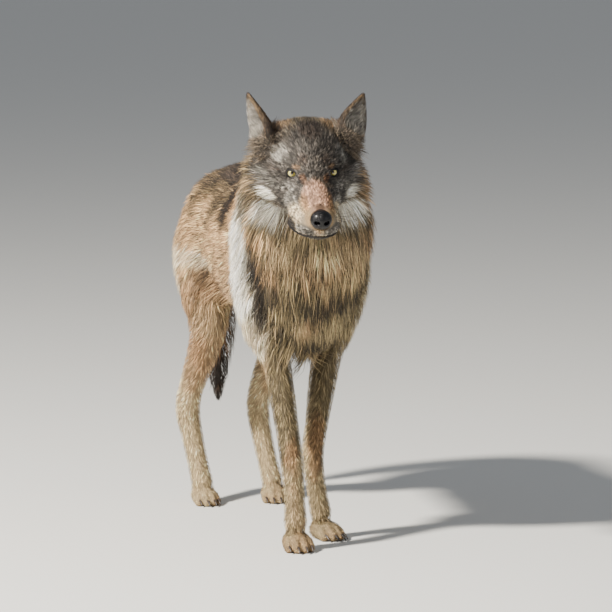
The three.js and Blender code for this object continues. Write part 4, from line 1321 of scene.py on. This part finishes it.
def face_length(depth, roots):
    """Short by the eyes, longer away from them towards the cheeks."""
    gap = np.min([np.linalg.norm(roots - centre, axis=1) for centre in EYES], axis=0)
    near = np.clip((gap - 12) / 26, 0, 1)
    return (sizes().length * 0.86 * depth + 1.2) * (0.42 + 0.58 * near)


def grows(parts, test=None):
    """Says which places of the skin a coat piece grows on, but never on the soles."""
    def chosen(middle, part):
        use = np.isin(part, [PARTS.index(name) for name in parts])
        if test is not None:
            use &= test(middle)
        return use & (middle[:, 2] > SOLE_HEIGHT)
    return chosen


def apart(least, share):
    """Says how far apart the roots are, which grows with the coat's depth."""
    def spacing(depth):
        return sizes().spacing * (least + share * depth)
    return spacing


coat_spacing, ruff_spacing = apart(1.0, 0.09), apart(0.85, 0.04)
leg_spacing, face_spacing = apart(1.7, 0.1), apart(0.95, 0.12)
ear_spacing = apart(1.7, 0)


def face_locks(depth):
    """The size of the locks on the head."""
    return 3.8 + 0.36 * depth


def ear_share(points):
    """0 at an ear's root and 1 at its tip."""
    q = to_head(points)
    made = np.zeros(len(points))
    for ear in EARS:
        base, height, along, _, _ = ear_frame(ear)
        made = np.where(q[:, 0] * ear[1] > 0, (q - base) @ along / height, made)
    return np.clip(made, 0, 1)


def ear_length(_, roots):
    """Long wisps low in the hollow and over the root, short hair on the back, at any depth."""
    return 5.5 + (9 * ear_inside(roots) + 2.5) * (1 - ear_share(roots))


def ear_hair(roots):
    """Brown on the back of the ear, pale in the hollow, dark along the rim, grey at the root."""
    colours = palette()
    inside, rim, share = ear_inside(roots), ear_rim(roots), ear_share(roots)
    low = np.clip((0.42 - share) / 0.3, 0, 1) * (1 - rim)

    def blended(back, hollow, edge, base):
        """Four colours over the ear, each in its place."""
        made = colours[back] + (colours[hollow] - colours[back]) * inside[:, None]
        made = made + (colours[edge] - made) * (rim * 0.9)[:, None]
        return made + (colours[base] - made) * (low * 0.7)[:, None]
    dark = 0.5 - 0.15 * inside + 0.2 * rim
    root = blended("tan", "grey", "brown", "silver")
    tip = blended("brown", "silver", "dark", "olive")
    return root, tip, dark


def ear_inside(points):
    """1 in the hollow of an ear, 0 on its back."""
    made = np.zeros(len(points))
    for chain in HOLLOWS:
        near, d, _ = chain_on_points(chain, points, 0)
        if len(near):
            made[near] = np.maximum(made[near], np.clip((3.0 - d) / 2.0, 0, 1))
    return made


def ear_rim(points):
    """1 along the edge of an ear."""
    made = np.zeros(len(points))
    q = to_head(points)
    for ear in EARS:
        base, height, along, wide, _ = ear_frame(ear)
        r = q - base
        share = r @ along / height
        half = np.interp(share, [p[0] for p in EAR_PROFILE], [p[1] for p in EAR_PROFILE])
        edge = np.clip((np.abs(r @ wide) / half - 0.78) / 0.2, 0, 1)
        top = np.clip((share - 0.8) / 0.15, 0, 1)
        here = (np.abs(r @ wide) < 45) & (share > 0.05) & (q[:, 0] * ear[1] > 0)
        made = np.where(here, np.maximum(np.maximum(edge, top), made), made)
    return made


def side_test(s, low=-math.inf, high=math.inf, split=-6.0):
    """Says which places are on one side of a plane, and between two others along the body."""
    def test(middle):
        return ((middle[:, 0] - split) * s > 0) & (middle[:, 1] >= low) & (middle[:, 1] < high)
    return test


def head_test(s):
    """Says which places are on one side of the head, clear of the eyes and the nose."""
    def test(middle):
        return (to_head(middle)[:, 0] * s > 0) & clear_of_face(middle)
    return test


# ---------------------------------------------------------------- small pieces
def ring_faces(rings, around):
    """Quads between rings of points, each ring closed on itself."""
    made = []
    for r in range(rings - 1):
        for n in range(around):
            m = (n + 1) % around
            made.append((r * around + n, r * around + m, (r + 1) * around + m,
                         (r + 1) * around + n))
    return np.array(made)


# The way both eyes look: to the left, ahead and up in the head's own axes.
GAZE = (-0.14, 0.93, 0.34)
# The cornea swells by this share of the radius in the middle, and ends at this angle.
CORNEA = {"swell": 0.055, "angle": 0.62}


def make_eye(side, s):
    """The ball with its cornea; an attribute holds the angle from the middle of the pupil."""
    centre = EYES[0 if s < 0 else 1]
    axis, across, up = eye_frame(s, GAZE)
    around = 48
    angles = np.concatenate([np.linspace(0.02, 0.75, 26), np.linspace(0.8, math.pi - 0.02, 14)])
    turns = np.arange(around) * 2 * math.pi / around
    points = []
    for a in angles:
        swell = CORNEA["swell"] * max(0.0, 1 - (a / CORNEA["angle"]) ** 2)
        r = EYE_RADIUS * (1 + swell)
        for t in turns:
            points.append(centre + axis * (r * math.cos(a)) + (
                across * math.cos(t) + up * math.sin(t)) * (r * math.sin(a)))
    faces = ring_faces(len(angles), around).tolist()
    mesh = bpy.data.meshes.new(f"eyeball_{side}")
    front = list(range(around))
    back = [(len(angles) - 1) * around + n for n in front]
    mesh.from_pydata(metres(points).tolist(), [], faces + [front[::-1], back])
    mesh.polygons.foreach_set("use_smooth", np.ones(len(mesh.polygons), bool))
    keep(mesh, "look", "FLOAT", np.repeat(angles, around))
    fix_normals(mesh)
    return object_of(mesh.name, mesh)


def eye_finish():
    """Wet and glossy: a black pupil, an amber ring round it, a pale iris and a dark edge."""
    colours = bpy.context.scene.wolf_colours
    made = Finish("wolf_eye", colours.iris, 0.18, Specular_IOR_Level=0.5, Coat_Weight=1.0,
                  Coat_Roughness=0.02)
    fibre = made.noise(420, 3)
    iris = made.ramp(fibre, [(0.3, toned(colours.iris, 0.72)), (0.7, colours.iris)])
    wavy = made.add("ShaderNodeMath", operation="ADD")
    made.link(made.attribute("look", "Fac"), wavy.inputs[0])
    made.link(made.scaled(fibre, -0.02, 0.02), wavy.inputs[1])
    angle = wavy.outputs[0]
    white = (1, 1, 1, 1)
    pupil = made.ramp(angle, [(0.235, (0, 0, 0, 1)), (0.265, white)])
    limbus = made.ramp(angle, [(0.66, white), (0.79, (0.02, 0.015, 0.01, 1))])
    amber = made.ramp(angle, [(0.26, (0.55, 0.4, 0.14, 1)), (0.44, white)])
    colour = made.mix(1.0, iris, amber, "MULTIPLY")
    colour = made.mix(1.0, colour, pupil, "MULTIPLY")
    made.link(made.mix(1.0, colour, limbus, "MULTIPLY"), made.shader.inputs["Base Color"])
    return made.material


def out_to_skin(start, way, reach, bare=1.0):
    """The place on the skin along a way from inside it, for many starts at once."""
    low, high = np.zeros(len(start)), np.full(len(start), reach)
    for _ in range(14):
        middle = (low + high) / 2
        inside = plain_field(start + way * middle[:, None], bare) < 0
        low = np.where(inside, middle, low)
        high = np.where(inside, high, middle)
    return start + way * low[:, None]


# Each ring of a lid, from under it outwards: share of the almond, growth past it, and height
# over the ball and over the skin, the higher of which counts. OFF leaves one of them out.
OFF = -99
LID_RINGS = ((0.82, 0, -0.7, OFF), (0.97, 0, 0.4, -1.6), (1, 0.7, 1.3, -0.2), (1, 1.9, 1.2, 0.7),
             (1, 3.4, OFF, 0.5), (1, 6.0, OFF, -1.6))


def make_lids(side, s):
    """A dark almond rim that runs from the ball out over the face, with the tear duct."""
    centre = EYES[0 if s < 0 else 1]
    axis, across, up = eye_frame(s)
    around = 72
    turn = np.arange(around) * 2 * math.pi / around
    duct = np.clip(-np.cos(turn), 0, 1) ** 6
    rings = []
    for share, grow, on_ball, on_skin in LID_RINGS:
        a, b = lid_edge(turn, grow)
        a = a * share - duct * grow * 0.8
        b = b * share - duct * grow * 0.9
        q = across * a[:, None] + up * b[:, None]
        flat = np.minimum(np.linalg.norm(q, axis=1), EYE_RADIUS)
        ball = np.sqrt(np.maximum((EYE_RADIUS + 0.2) ** 2 - flat ** 2, 4.0)) + on_ball
        place = out_to_skin(centre + q - axis * 24, axis, reach=64.0)
        skin = (place - centre) @ axis + on_skin
        rings.append(centre + q + axis * np.maximum(ball, skin)[:, None])
    points = np.concatenate(rings)
    piece = mesh_of(f"eyelids_{side}", points, ring_faces(len(rings), around))
    fix_normals(piece.data)
    return piece


def rim_finish():
    """Dark bare skin of the lids and lips, faintly pored."""
    colour = bpy.context.scene.wolf_colours.rim
    made = Finish("wolf_rim", colour, 0.6, Specular_IOR_Level=0.2)
    tone = made.ramp(made.noise(300, 3), [(0.3, toned(colour, 0.6)), (0.8, toned(colour, 1.6))])
    made.link(tone, made.shader.inputs["Base Color"])
    made.bump(made.noise(900, 3), 0.4, 0.0004)
    return made.material


# The nose pad: its middle in the head's own axes, and its sizes.
NOSE = {"forward": 130.0, "up": -55.0, "width": 46.0, "height": 42.0, "depth": 30.0}


# How much of the chain's box is empty past the pad, and the step of the pad's grid.
PAD_SLACK = 14
PAD_STEP = 1.1


def make_nose():
    """The pad with its two comma-shaped nostrils and the groove between them."""
    f, u = NOSE["forward"], NOSE["up"]
    w, h, d = NOSE["width"], NOSE["height"], NOSE["depth"]
    pad = Chain("nose", 8, X, [(0, f - 0.5 * d, u - 2, 0.42 * w, 0.46 * h, 0),
                               (0, f, u, 0.5 * w, 0.5 * h, 0)], head=True)
    holes = []
    for _, s in SIDES:
        holes.append(Chain("nose", 3, X, [(s * 9.5, f + 24, u - 4, 5.8, 4.8, 0),
                                          (s * 10, f + 12, u - 1, 5.4, 4.6, 0)], head=True))
        holes.append(Chain("nose", 3, X, [(s * 11, f + 21, u - 8, 4.2, 3.0, 0),
                                          (s * 18, f + 17, u - 8, 3.4, 2.2, 0),
                                          (s * 25, f + 8, u - 6, 2.6, 1.6, 0)], head=True))
    holes.append(Chain("nose", 2, X, [(0, f + 24, u - 2, 1.3, 3.4, 0),
                                      (0, f + 21, u - 12, 1.2, 3.4, 0),
                                      (0, f + 14, u - 22, 1.2, 3.0, 0)], head=True))
    low, high = pad.low + PAD_SLACK, pad.high - PAD_SLACK
    axes = [grid_line((low[n], high[n], PAD_STEP)) for n in range(3)]
    field, _ = field_on_grid(axes, [pad], holes, 0)
    return mesh_of("nose_pad", *net_of(axes, field))


def nose_finish():
    """Damp black leather with fine cells between grooves."""
    colour = bpy.context.scene.wolf_colours.nose
    made = Finish("wolf_nose", colour, 0.34, Specular_IOR_Level=0.2, Coat_Weight=0.2,
                  Coat_Roughness=0.15)
    cells = made.add("ShaderNodeTexVoronoi", feature="DISTANCE_TO_EDGE")
    cells.inputs["Scale"].default_value = 520
    made.link(made.place, cells.inputs["Vector"])
    # The grooves between the cells are darkened in the colour as painted shade.
    edge = made.ramp(cells.outputs["Distance"], [(0.0, (0, 0, 0, 1)), (0.16, (1, 1, 1, 1))])
    tone = made.ramp(made.noise(120, 3), [(0.3, toned(colour, 0.7)), (0.75, toned(colour, 1.7))])
    made.link(made.mix(0.5, tone, edge, "MULTIPLY"), made.shader.inputs["Base Color"])
    made.bump(edge, 0.5, 0.0005, made.bump(made.noise(200, 2), 0.25, 0.0008))
    return made.material


def tube(path, radius, around=10):
    """A closed tube along a path of points, with a radius at each."""
    path = np.asarray(path, float)
    way = unit(np.gradient(path, axis=0))
    side = unit(np.cross(way, np.array([0.13, 0.31, 0.94])))
    up = np.cross(side, way)
    t = np.arange(around) * 2 * math.pi / around
    rings = [p + (s * np.cos(t)[:, None] + u * np.sin(t)[:, None]) * r
             for p, s, u, r in zip(path, side, up, radius)]
    points = np.concatenate(rings + [path[:1], path[-1:]])
    quads = ring_faces(len(path), around)
    n = len(path) * around
    caps = [(m, (m + 1) % around, n, n) for m in range(around)]
    last = (len(path) - 1) * around
    caps += [(last + (m + 1) % around, last + m, n + 1, n + 1) for m in range(around)]
    tris = np.concatenate([quads[:, [0, 1, 2]], quads[:, [0, 2, 3]],
                           np.array(caps)[:, [0, 2, 1]]])
    return points, tris


def mouth_path(s):
    """The edge of the upper lip at the hair's level, from under the nose to the corner."""
    rows = np.array([(0, 131, -92), (s * 14, 128, -94), (s * 27, 113, -97), (s * 38, 90, -100),
                     (s * 46, 66, -101), (s * 51, 44, -97), (s * 52, 28, -92)], float)
    curve = curve_through(rows, 5)
    inner = curve * np.array([0.2, 1.0, 1.0]) - np.array([0, 22, -10])
    start, goal = from_head(inner), from_head(curve)
    way = unit(goal - start)
    return out_to_skin(start, way, reach=90.0, bare=0.0) - way * LIP_SINK


# How far the middle of the lips' edge lies under the hair tips, and its radius along its run.
LIP_SINK = 1.4
LIP_RUN, LIP_RADIUS = (0, 0.1, 0.6, 0.9, 1), (2.0, 2.0, 3.6, 5.0, 2.0)


def make_lips():
    """The dark edge of the mouth, thickest before its corners, and the groove under the nose."""
    pieces = []
    for _, s in SIDES:
        path = mouth_path(s)
        radius = np.interp(np.linspace(0, 1, len(path)), LIP_RUN, LIP_RADIUS)
        pieces.append(tube(path, radius))
    f, u = NOSE["forward"], NOSE["up"]
    split = from_head([(0, f + 6, u - 20), (0, f + 3, u - 24), (0, f - 1, u - 30)])
    pieces.append(tube(split, [1.6, 1.5, 1.6]))
    piece = mesh_of("lips", *joined(pieces))
    fix_normals(piece.data)
    return piece


WHISKER = {"Length": 0.066, "Radius": 0.0004, "Bend": 0.016}


def whisker_tree(material):
    """A node group that stands a tapered, bent hair on each point, along its way."""
    tree = bpy.data.node_groups.new("wolf_whiskers", "GeometryNodeTree")
    face = tree.interface
    face.new_socket("Geometry", in_out="INPUT", socket_type="NodeSocketGeometry")
    for name, value in WHISKER.items():
        face.new_socket(name, in_out="INPUT", socket_type="NodeSocketFloat").default_value = value
    face.new_socket("Seed", in_out="INPUT", socket_type="NodeSocketInt").default_value = SEED
    face.new_socket("Geometry", in_out="OUTPUT", socket_type="NodeSocketGeometry")

    def node(kind, **settings):
        """A new node with its settings."""
        made = tree.nodes.new(kind)
        for key, value in settings.items():
            setattr(made, key, value)
        return made

    def link(a, b):
        tree.links.new(a, b)
    start, end = node("NodeGroupInput"), node("NodeGroupOutput")
    top, bent = node("ShaderNodeCombineXYZ"), node("ShaderNodeCombineXYZ")
    half = node("ShaderNodeMath", operation="MULTIPLY")
    half.inputs[1].default_value = 0.55
    link(start.outputs["Length"], half.inputs[0])
    link(start.outputs["Length"], top.inputs["Z"])
    link(half.outputs[0], bent.inputs["Z"])
    link(start.outputs["Bend"], bent.inputs["X"])
    path = node("GeometryNodeCurveQuadraticBezier")
    path.inputs["Resolution"].default_value = 7
    path.inputs["Start"].default_value = (0, 0, -0.004)
    link(bent.outputs[0], path.inputs["Middle"])
    link(top.outputs[0], path.inputs["End"])
    ring = node("GeometryNodeCurvePrimitiveCircle")
    ring.inputs["Resolution"].default_value = 4
    link(start.outputs["Radius"], ring.inputs["Radius"])
    along = node("GeometryNodeSplineParameter")
    taper = node("ShaderNodeMapRange")
    taper.inputs["To Min"].default_value = 1.0
    taper.inputs["To Max"].default_value = 0.15
    link(along.outputs["Factor"], taper.inputs["Value"])
    thin = node("GeometryNodeSetCurveRadius")
    link(path.outputs["Curve"], thin.inputs["Curve"])
    link(taper.outputs["Result"], thin.inputs["Radius"])
    hair = node("GeometryNodeCurveToMesh")
    hair.inputs["Fill Caps"].default_value = True
    link(thin.outputs["Curve"], hair.inputs["Curve"])
    link(ring.outputs["Curve"], hair.inputs["Profile Curve"])
    if "Scale" in hair.inputs:
        link(taper.outputs["Result"], hair.inputs["Scale"])
    way = node("GeometryNodeInputNamedAttribute", data_type="FLOAT_VECTOR")
    way.inputs["Name"].default_value = "way"
    turn = node("FunctionNodeAlignRotationToVector", axis="Z")
    link(way.outputs["Attribute"], turn.inputs["Vector"])
    size = node("FunctionNodeRandomValue", data_type="FLOAT")
    for socket, value in zip([s for s in size.inputs if s.name in ("Min", "Max")
                              and s.type == "VALUE"], (0.55, 1.1)):
        socket.default_value = value
    link(start.outputs["Seed"], size.inputs["Seed"])
    dots = node("GeometryNodeMeshToPoints")
    link(start.outputs["Geometry"], dots.inputs["Mesh"])
    stand = node("GeometryNodeInstanceOnPoints")
    link(dots.outputs["Points"], stand.inputs["Points"])
    link(hair.outputs["Mesh"], stand.inputs["Instance"])
    link(turn.outputs["Rotation"], stand.inputs["Rotation"])
    link([s for s in size.outputs if s.type == "VALUE"][0], stand.inputs["Scale"])
    real, paint = node("GeometryNodeRealizeInstances"), node("GeometryNodeSetMaterial")
    paint.inputs["Material"].default_value = material
    link(stand.outputs["Instances"], real.inputs["Geometry"])
    link(real.outputs["Geometry"], paint.inputs["Geometry"])
    link(paint.outputs["Geometry"], end.inputs["Geometry"])
    return tree


def whisker_roots():
    """Rows of roots on the sides of the muzzle, with the way each whisker points."""
    rng = np.random.default_rng(SEED)
    starts, ways = [], []
    for _, s in SIDES:
        for n in range(sizes().whiskers):
            row, column = n % 4, n // 4
            at = np.array([s * 8.0, 98 - 15 * column + rng.uniform(-3, 3), -64 - 6 * row])
            starts.append(at)
            ways.append((s * 1.0, -0.55 - 0.12 * column + rng.uniform(-0.1, 0.1),
                         0.1 - 0.16 * row + rng.uniform(-0.06, 0.06)))
    side = np.array([(np.sign(w[0]), 0.0, -0.15) for w in ways])
    places = out_to_skin(from_head(starts), unit(head_way(side)), reach=70.0, bare=0.0)
    return places, unit(head_way(ways))


def make_whiskers(material):
    """The whiskers as one plain mesh, once the nodes have grown them."""
    places, ways = whisker_roots()
    mesh = bpy.data.meshes.new("whiskers")
    mesh.from_pydata(metres(places).tolist(), [], [])
    keep(mesh, "way", "FLOAT_VECTOR", ways)
    piece = object_of("whiskers", mesh)
    nodes = piece.modifiers.new("whiskers", "NODES")
    nodes.node_group = whisker_tree(material)
    for item in nodes.node_group.interface.items_tree:
        if item.in_out == "INPUT" and item.name in WHISKER:
            nodes[item.identifier] = WHISKER[item.name]
    whole = bpy.data.meshes.new_from_object(
        piece.evaluated_get(bpy.context.evaluated_depsgraph_get()))
    piece.modifiers.remove(nodes)
    piece.data = whole
    whole.name = "whiskers"
    whole.materials.clear()
    fix_normals(whole)
    return piece


# A claw: radius at its root, length ahead of the toe's end, how far it goes back into the toe,
# and the heights of its root, of its bend and of its point.
CLAW = {"radius": 3.5, "length": 19, "sunk": 3, "root": 17, "bend": 16, "point": 3.2}


def claw_mesh(root, bend, tip):
    """A curved claw, from a blunt root to a worn point."""
    t = np.linspace(0, 1, 9)[:, None]
    path = root * (1 - t) ** 2 + bend * 2 * t * (1 - t) + tip * t ** 2
    return tube(path, CLAW["radius"] * (1 - 0.72 * t[:, 0] ** 1.4), 12)


def make_claws():
    """A claw at the end of each toe."""
    pieces = []
    for paw in PAWS:
        ahead, _, at = paw_frame(paw)
        for a, f in TOES:
            root = at(a * 1.05, f + 12, CLAW["root"])
            tip = root + ahead * CLAW["length"]
            tip[2] = CLAW["point"]
            bend = (root + tip) / 2
            bend[2] = CLAW["bend"]
            pieces.append(claw_mesh(root - ahead * CLAW["sunk"], bend, tip))
    piece = mesh_of("claws", *joined(pieces))
    fix_normals(piece.data)
    return piece


def horn_finish(name):
    """Dark horn with a faint grain, for the claws and the whiskers."""
    colour = bpy.context.scene.wolf_colours.horn
    made = Finish(name, colour, 0.4, Specular_IOR_Level=0.5)
    grain = made.noise(60, 4, (1, 1, 6))
    tone = made.ramp(grain, [(0.3, toned(colour, 0.6)), (0.75, toned(colour, 2.4))])
    made.link(tone, made.shader.inputs["Base Color"])
    made.bump(made.noise(500, 3), 0.3, 0.0003)
    return made.material


# ---------------------------------------------------------------- operators
def coat_material(name):
    """The finish of that name, made once and shared by the coat pieces."""
    return bpy.data.materials.get(name) or coat_finish(name)


TRUNK_SEED, NECK_SEED, HEAD_SEED, LEG_SEED, TAIL_SEED, EAR_SEED = 10, 20, 30, 40, 50, 60
MOST_LEG_TUFTS, MOST_EAR_TUFTS = 13000, 9000
# Planes along the body between the shoulder, flank and rump, and the middle of the neck.
SHOULDER_END, FLANK_END = -140, 120
NECK_MIDDLE = -40
FLESH_NODES = ("chest", "loin", "rump", "neck", "head", "lower_jaw", "tail_", "foreleg_",
               "thigh_", "shank_", "forefoot_", "hindfoot_", "ear_")


class WOLF_OT_skin(bpy.types.Operator):
    """Make the one skin that lies under the whole coat"""
    bl_idname = "wolf.skin"
    bl_label = "Skin"

    def execute(self, context):
        skin = make_skin()
        nodes = [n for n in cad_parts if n.startswith(FLESH_NODES)]
        finish_piece(skin, hide_finish(), "coat_flank", *nodes)
        return {"FINISHED"}


class WOLF_OT_coat_trunk(bpy.types.Operator):
    """Grow the coat of the shoulders, flanks and rump"""
    bl_idname = "wolf.coat_trunk"
    bl_label = "Coat of the trunk"

    def execute(self, context):
        spans = (("shoulder", -math.inf, SHOULDER_END), ("flank", SHOULDER_END, FLANK_END),
                 ("rump", FLANK_END, math.inf))
        for side, s in SIDES:
            for n, (name, low, high) in enumerate(spans):
                piece = tufts(f"coat_{name}_{side}", grows({"trunk"}, side_test(s, low, high)),
                              body_unwrap, coat_spacing, seed=TRUNK_SEED + n + s)
                finish_piece(piece, coat_material("wolf_coat"), "coat_flank")
        return {"FINISHED"}


class WOLF_OT_coat_neck(bpy.types.Operator):
    """Grow the long coat of the neck and ruff"""
    bl_idname = "wolf.coat_neck"
    bl_label = "Coat of the neck"

    def execute(self, context):
        for side, s in SIDES:
            here = grows({"neck"}, side_test(s, split=NECK_MIDDLE))
            piece = tufts(f"coat_neck_{side}", here,
                          neck_unwrap, ruff_spacing, seed=NECK_SEED + s)
            finish_piece(piece, coat_material("wolf_coat"), "coat_ruff")
        return {"FINISHED"}


class WOLF_OT_coat_head(bpy.types.Operator):
    """Grow the short coat of the face, the cheeks and the jaw"""
    bl_idname = "wolf.coat_head"
    bl_label = "Coat of the head"

    def execute(self, context):
        for side, s in SIDES:
            piece = tufts(f"coat_head_{side}", grows({"head"}, head_test(s)), head_unwrap,
                          face_spacing, seed=HEAD_SEED + s, rise=(0.6, 1.0),
                          length=face_length, lock_size=face_locks, speckle=0.75)
            finish_piece(piece, coat_material("wolf_coat_face"), "coat_face")
        return {"FINISHED"}


class WOLF_OT_coat_legs(bpy.types.Operator):
    """Grow the short coat of the legs and paws"""
    bl_idname = "wolf.coat_legs"
    bl_label = "Coat of the legs"

    def execute(self, context):
        for n, pair in enumerate(("fore", "hind")):
            piece = tufts(f"coat_legs_{pair}", grows({f"{pair}_right", f"{pair}_left"}),
                          leg_unwrap(pair), leg_spacing, seed=LEG_SEED + n,
                          most=MOST_LEG_TUFTS, rise=(0.6, 0.95))
            finish_piece(piece, coat_material("wolf_coat"), "coat_leg")
        return {"FINISHED"}


class WOLF_OT_coat_tail(bpy.types.Operator):
    """Grow the bushy coat of the tail"""
    bl_idname = "wolf.coat_tail"
    bl_label = "Coat of the tail"

    def execute(self, context):
        piece = tufts("coat_tail", grows({"tail"}), tail_unwrap, coat_spacing, seed=TAIL_SEED)
        finish_piece(piece, coat_material("wolf_coat"), "coat_back")
        return {"FINISHED"}


class WOLF_OT_coat_ears(bpy.types.Operator):
    """Grow the short hair of the ear backs and the pale hair in their hollows"""
    bl_idname = "wolf.coat_ears"
    bl_label = "Coat of the ears"

    def execute(self, context):
        piece = tufts("coat_ears", grows({"ear"}), ear_unwrap, ear_spacing, seed=EAR_SEED,
                      most=MOST_EAR_TUFTS, rise=(0.7, 2.6), length=ear_length, hair=ear_hair,
                      speckle=0.7)
        finish_piece(piece, coat_material("wolf_coat_face"), "ear_coat")
        return {"FINISHED"}


class WOLF_OT_eyes(bpy.types.Operator):
    """Make the eyeballs and the dark rims of the lids"""
    bl_idname = "wolf.eyes"
    bl_label = "Eyes"

    def execute(self, context):
        ball, rim = eye_finish(), rim_finish()
        for side, s in SIDES:
            finish_piece(make_eye(side, s), ball, "eye", f"eye_{side}")
            finish_piece(make_lids(side, s), rim, "nose_skin")
        return {"FINISHED"}


class WOLF_OT_muzzle(bpy.types.Operator):
    """Make the nose pad, the lips and the whiskers"""
    bl_idname = "wolf.muzzle"
    bl_label = "Nose, lips and whiskers"

    def execute(self, context):
        finish_piece(make_nose(), nose_finish(), "nose_skin", "nose")
        finish_piece(make_lips(), bpy.data.materials["wolf_rim"], "nose_skin")
        if sizes().whiskers:
            hair = horn_finish("wolf_whisker")
            finish_piece(make_whiskers(hair), hair, "nose_skin")
        return {"FINISHED"}


class WOLF_OT_claws(bpy.types.Operator):
    """Make the sixteen claws"""
    bl_idname = "wolf.claws"
    bl_label = "Claws"

    def execute(self, context):
        nodes = [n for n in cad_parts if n.startswith("claw_")]
        finish_piece(make_claws(), horn_finish("wolf_claw"), "claw", *nodes)
        return {"FINISHED"}


# Each light: name, place, size and power, and colour. Both point at the middle of the wolf.
LIGHTS = (("key", (-5.4, -2.5, 5.2), 0.8, 2000, (1.0, 0.94, 0.84)),
          ("fill", (4.0, -4.5, 2.2), 3.0, 40, (0.9, 0.95, 1.0)))
LIT = (0, -0.2, 0.6)
SKY_COLOUR, SKY_STRENGTH = (0.83, 0.87, 0.92, 1), 0.36
CAMERA_AT = (-2.3122, -8.6954, 1.41)
# Degrees: down from the level, and to the right of straight ahead.
CAMERA_DOWN, CAMERA_RIGHT = 5.76, 15.296
LENS, SENSOR = 238.2, 36
FLOOR_HALF = 200


def add_light(name, place, size, power, colour):
    """A round area light that points at the wolf."""
    light = bpy.data.lights.new(name, "AREA")
    light.shape = "DISK"
    light.size = size
    light.energy = power
    light.color = colour
    lamp = object_of(name, light)
    lamp.location = place
    way = np.asarray(LIT, float) - np.asarray(place, float)
    lamp.rotation_euler = (math.atan2(math.hypot(way[0], way[1]), -way[2]), 0,
                           math.atan2(way[0], -way[1]) + math.pi)


class WOLF_OT_stage(bpy.types.Operator):
    """Set the floor, the lights and the camera"""
    bl_idname = "wolf.stage"
    bl_label = "Floor, lights and camera"

    def execute(self, context):
        corners = [(x * FLOOR_HALF, y * FLOOR_HALF, 0)
                   for x, y in ((-1, -1), (1, -1), (1, 1), (-1, 1))]
        mesh = bpy.data.meshes.new("floor")
        mesh.from_pydata(corners, [], [(0, 1, 2, 3)])
        mesh.materials.append(Finish("floor_paper", context.scene.wolf_colours.floor,
                                     0.9).material)
        object_of("floor", mesh)
        world = bpy.data.worlds.new("studio")
        world.use_nodes = True
        sky = world.node_tree.nodes["Background"]
        sky.inputs["Color"].default_value = SKY_COLOUR
        sky.inputs["Strength"].default_value = SKY_STRENGTH
        context.scene.world = world
        for light in LIGHTS:
            add_light(*light)
        camera = bpy.data.cameras.new("camera")
        camera.lens = LENS
        camera.sensor_width = SENSOR
        camera.clip_end = 3 * FLOOR_HALF
        eye = object_of("camera", camera)
        eye.location = CAMERA_AT
        eye.rotation_euler = (math.radians(90 - CAMERA_DOWN), 0, math.radians(-CAMERA_RIGHT))
        context.scene.camera = eye
        return {"FINISHED"}


class WOLF_PT_panel(bpy.types.Panel):
    """The wolf's pieces, sizes and colours"""
    bl_idname = "WOLF_PT_panel"
    bl_label = "Wolf"
    bl_space_type = "VIEW_3D"
    bl_region_type = "UI"
    bl_category = "Wolf"

    def draw(self, context):
        for operator in OPERATORS:
            self.layout.operator(operator.bl_idname)
        for group in (context.scene.wolf_sizes, context.scene.wolf_colours):
            for name in group.__annotations__:
                self.layout.prop(group, name)


OPERATORS = (WOLF_OT_skin, WOLF_OT_coat_trunk, WOLF_OT_coat_neck, WOLF_OT_coat_head,
             WOLF_OT_coat_legs, WOLF_OT_coat_tail, WOLF_OT_coat_ears, WOLF_OT_eyes,
             WOLF_OT_muzzle, WOLF_OT_claws, WOLF_OT_stage)
CLASSES = (WolfColours, WolfSizes) + OPERATORS + (WOLF_PT_panel,)


def register():
    """Adds the classes and the two groups of settings."""
    for cls in CLASSES:
        bpy.utils.register_class(cls)
    bpy.types.Scene.wolf_colours = bpy.props.PointerProperty(type=WolfColours)
    bpy.types.Scene.wolf_sizes = bpy.props.PointerProperty(type=WolfSizes)


def unregister():
    """Takes the settings and the classes out again."""
    del bpy.types.Scene.wolf_sizes
    del bpy.types.Scene.wolf_colours
    for cls in reversed(CLASSES):
        bpy.utils.unregister_class(cls)


def main():
    """Makes every piece and the stage."""
    register()
    for operator in OPERATORS:
        group, name = operator.bl_idname.split(".")
        getattr(getattr(bpy.ops, group), name)()


if __name__ == "__main__":
    main()
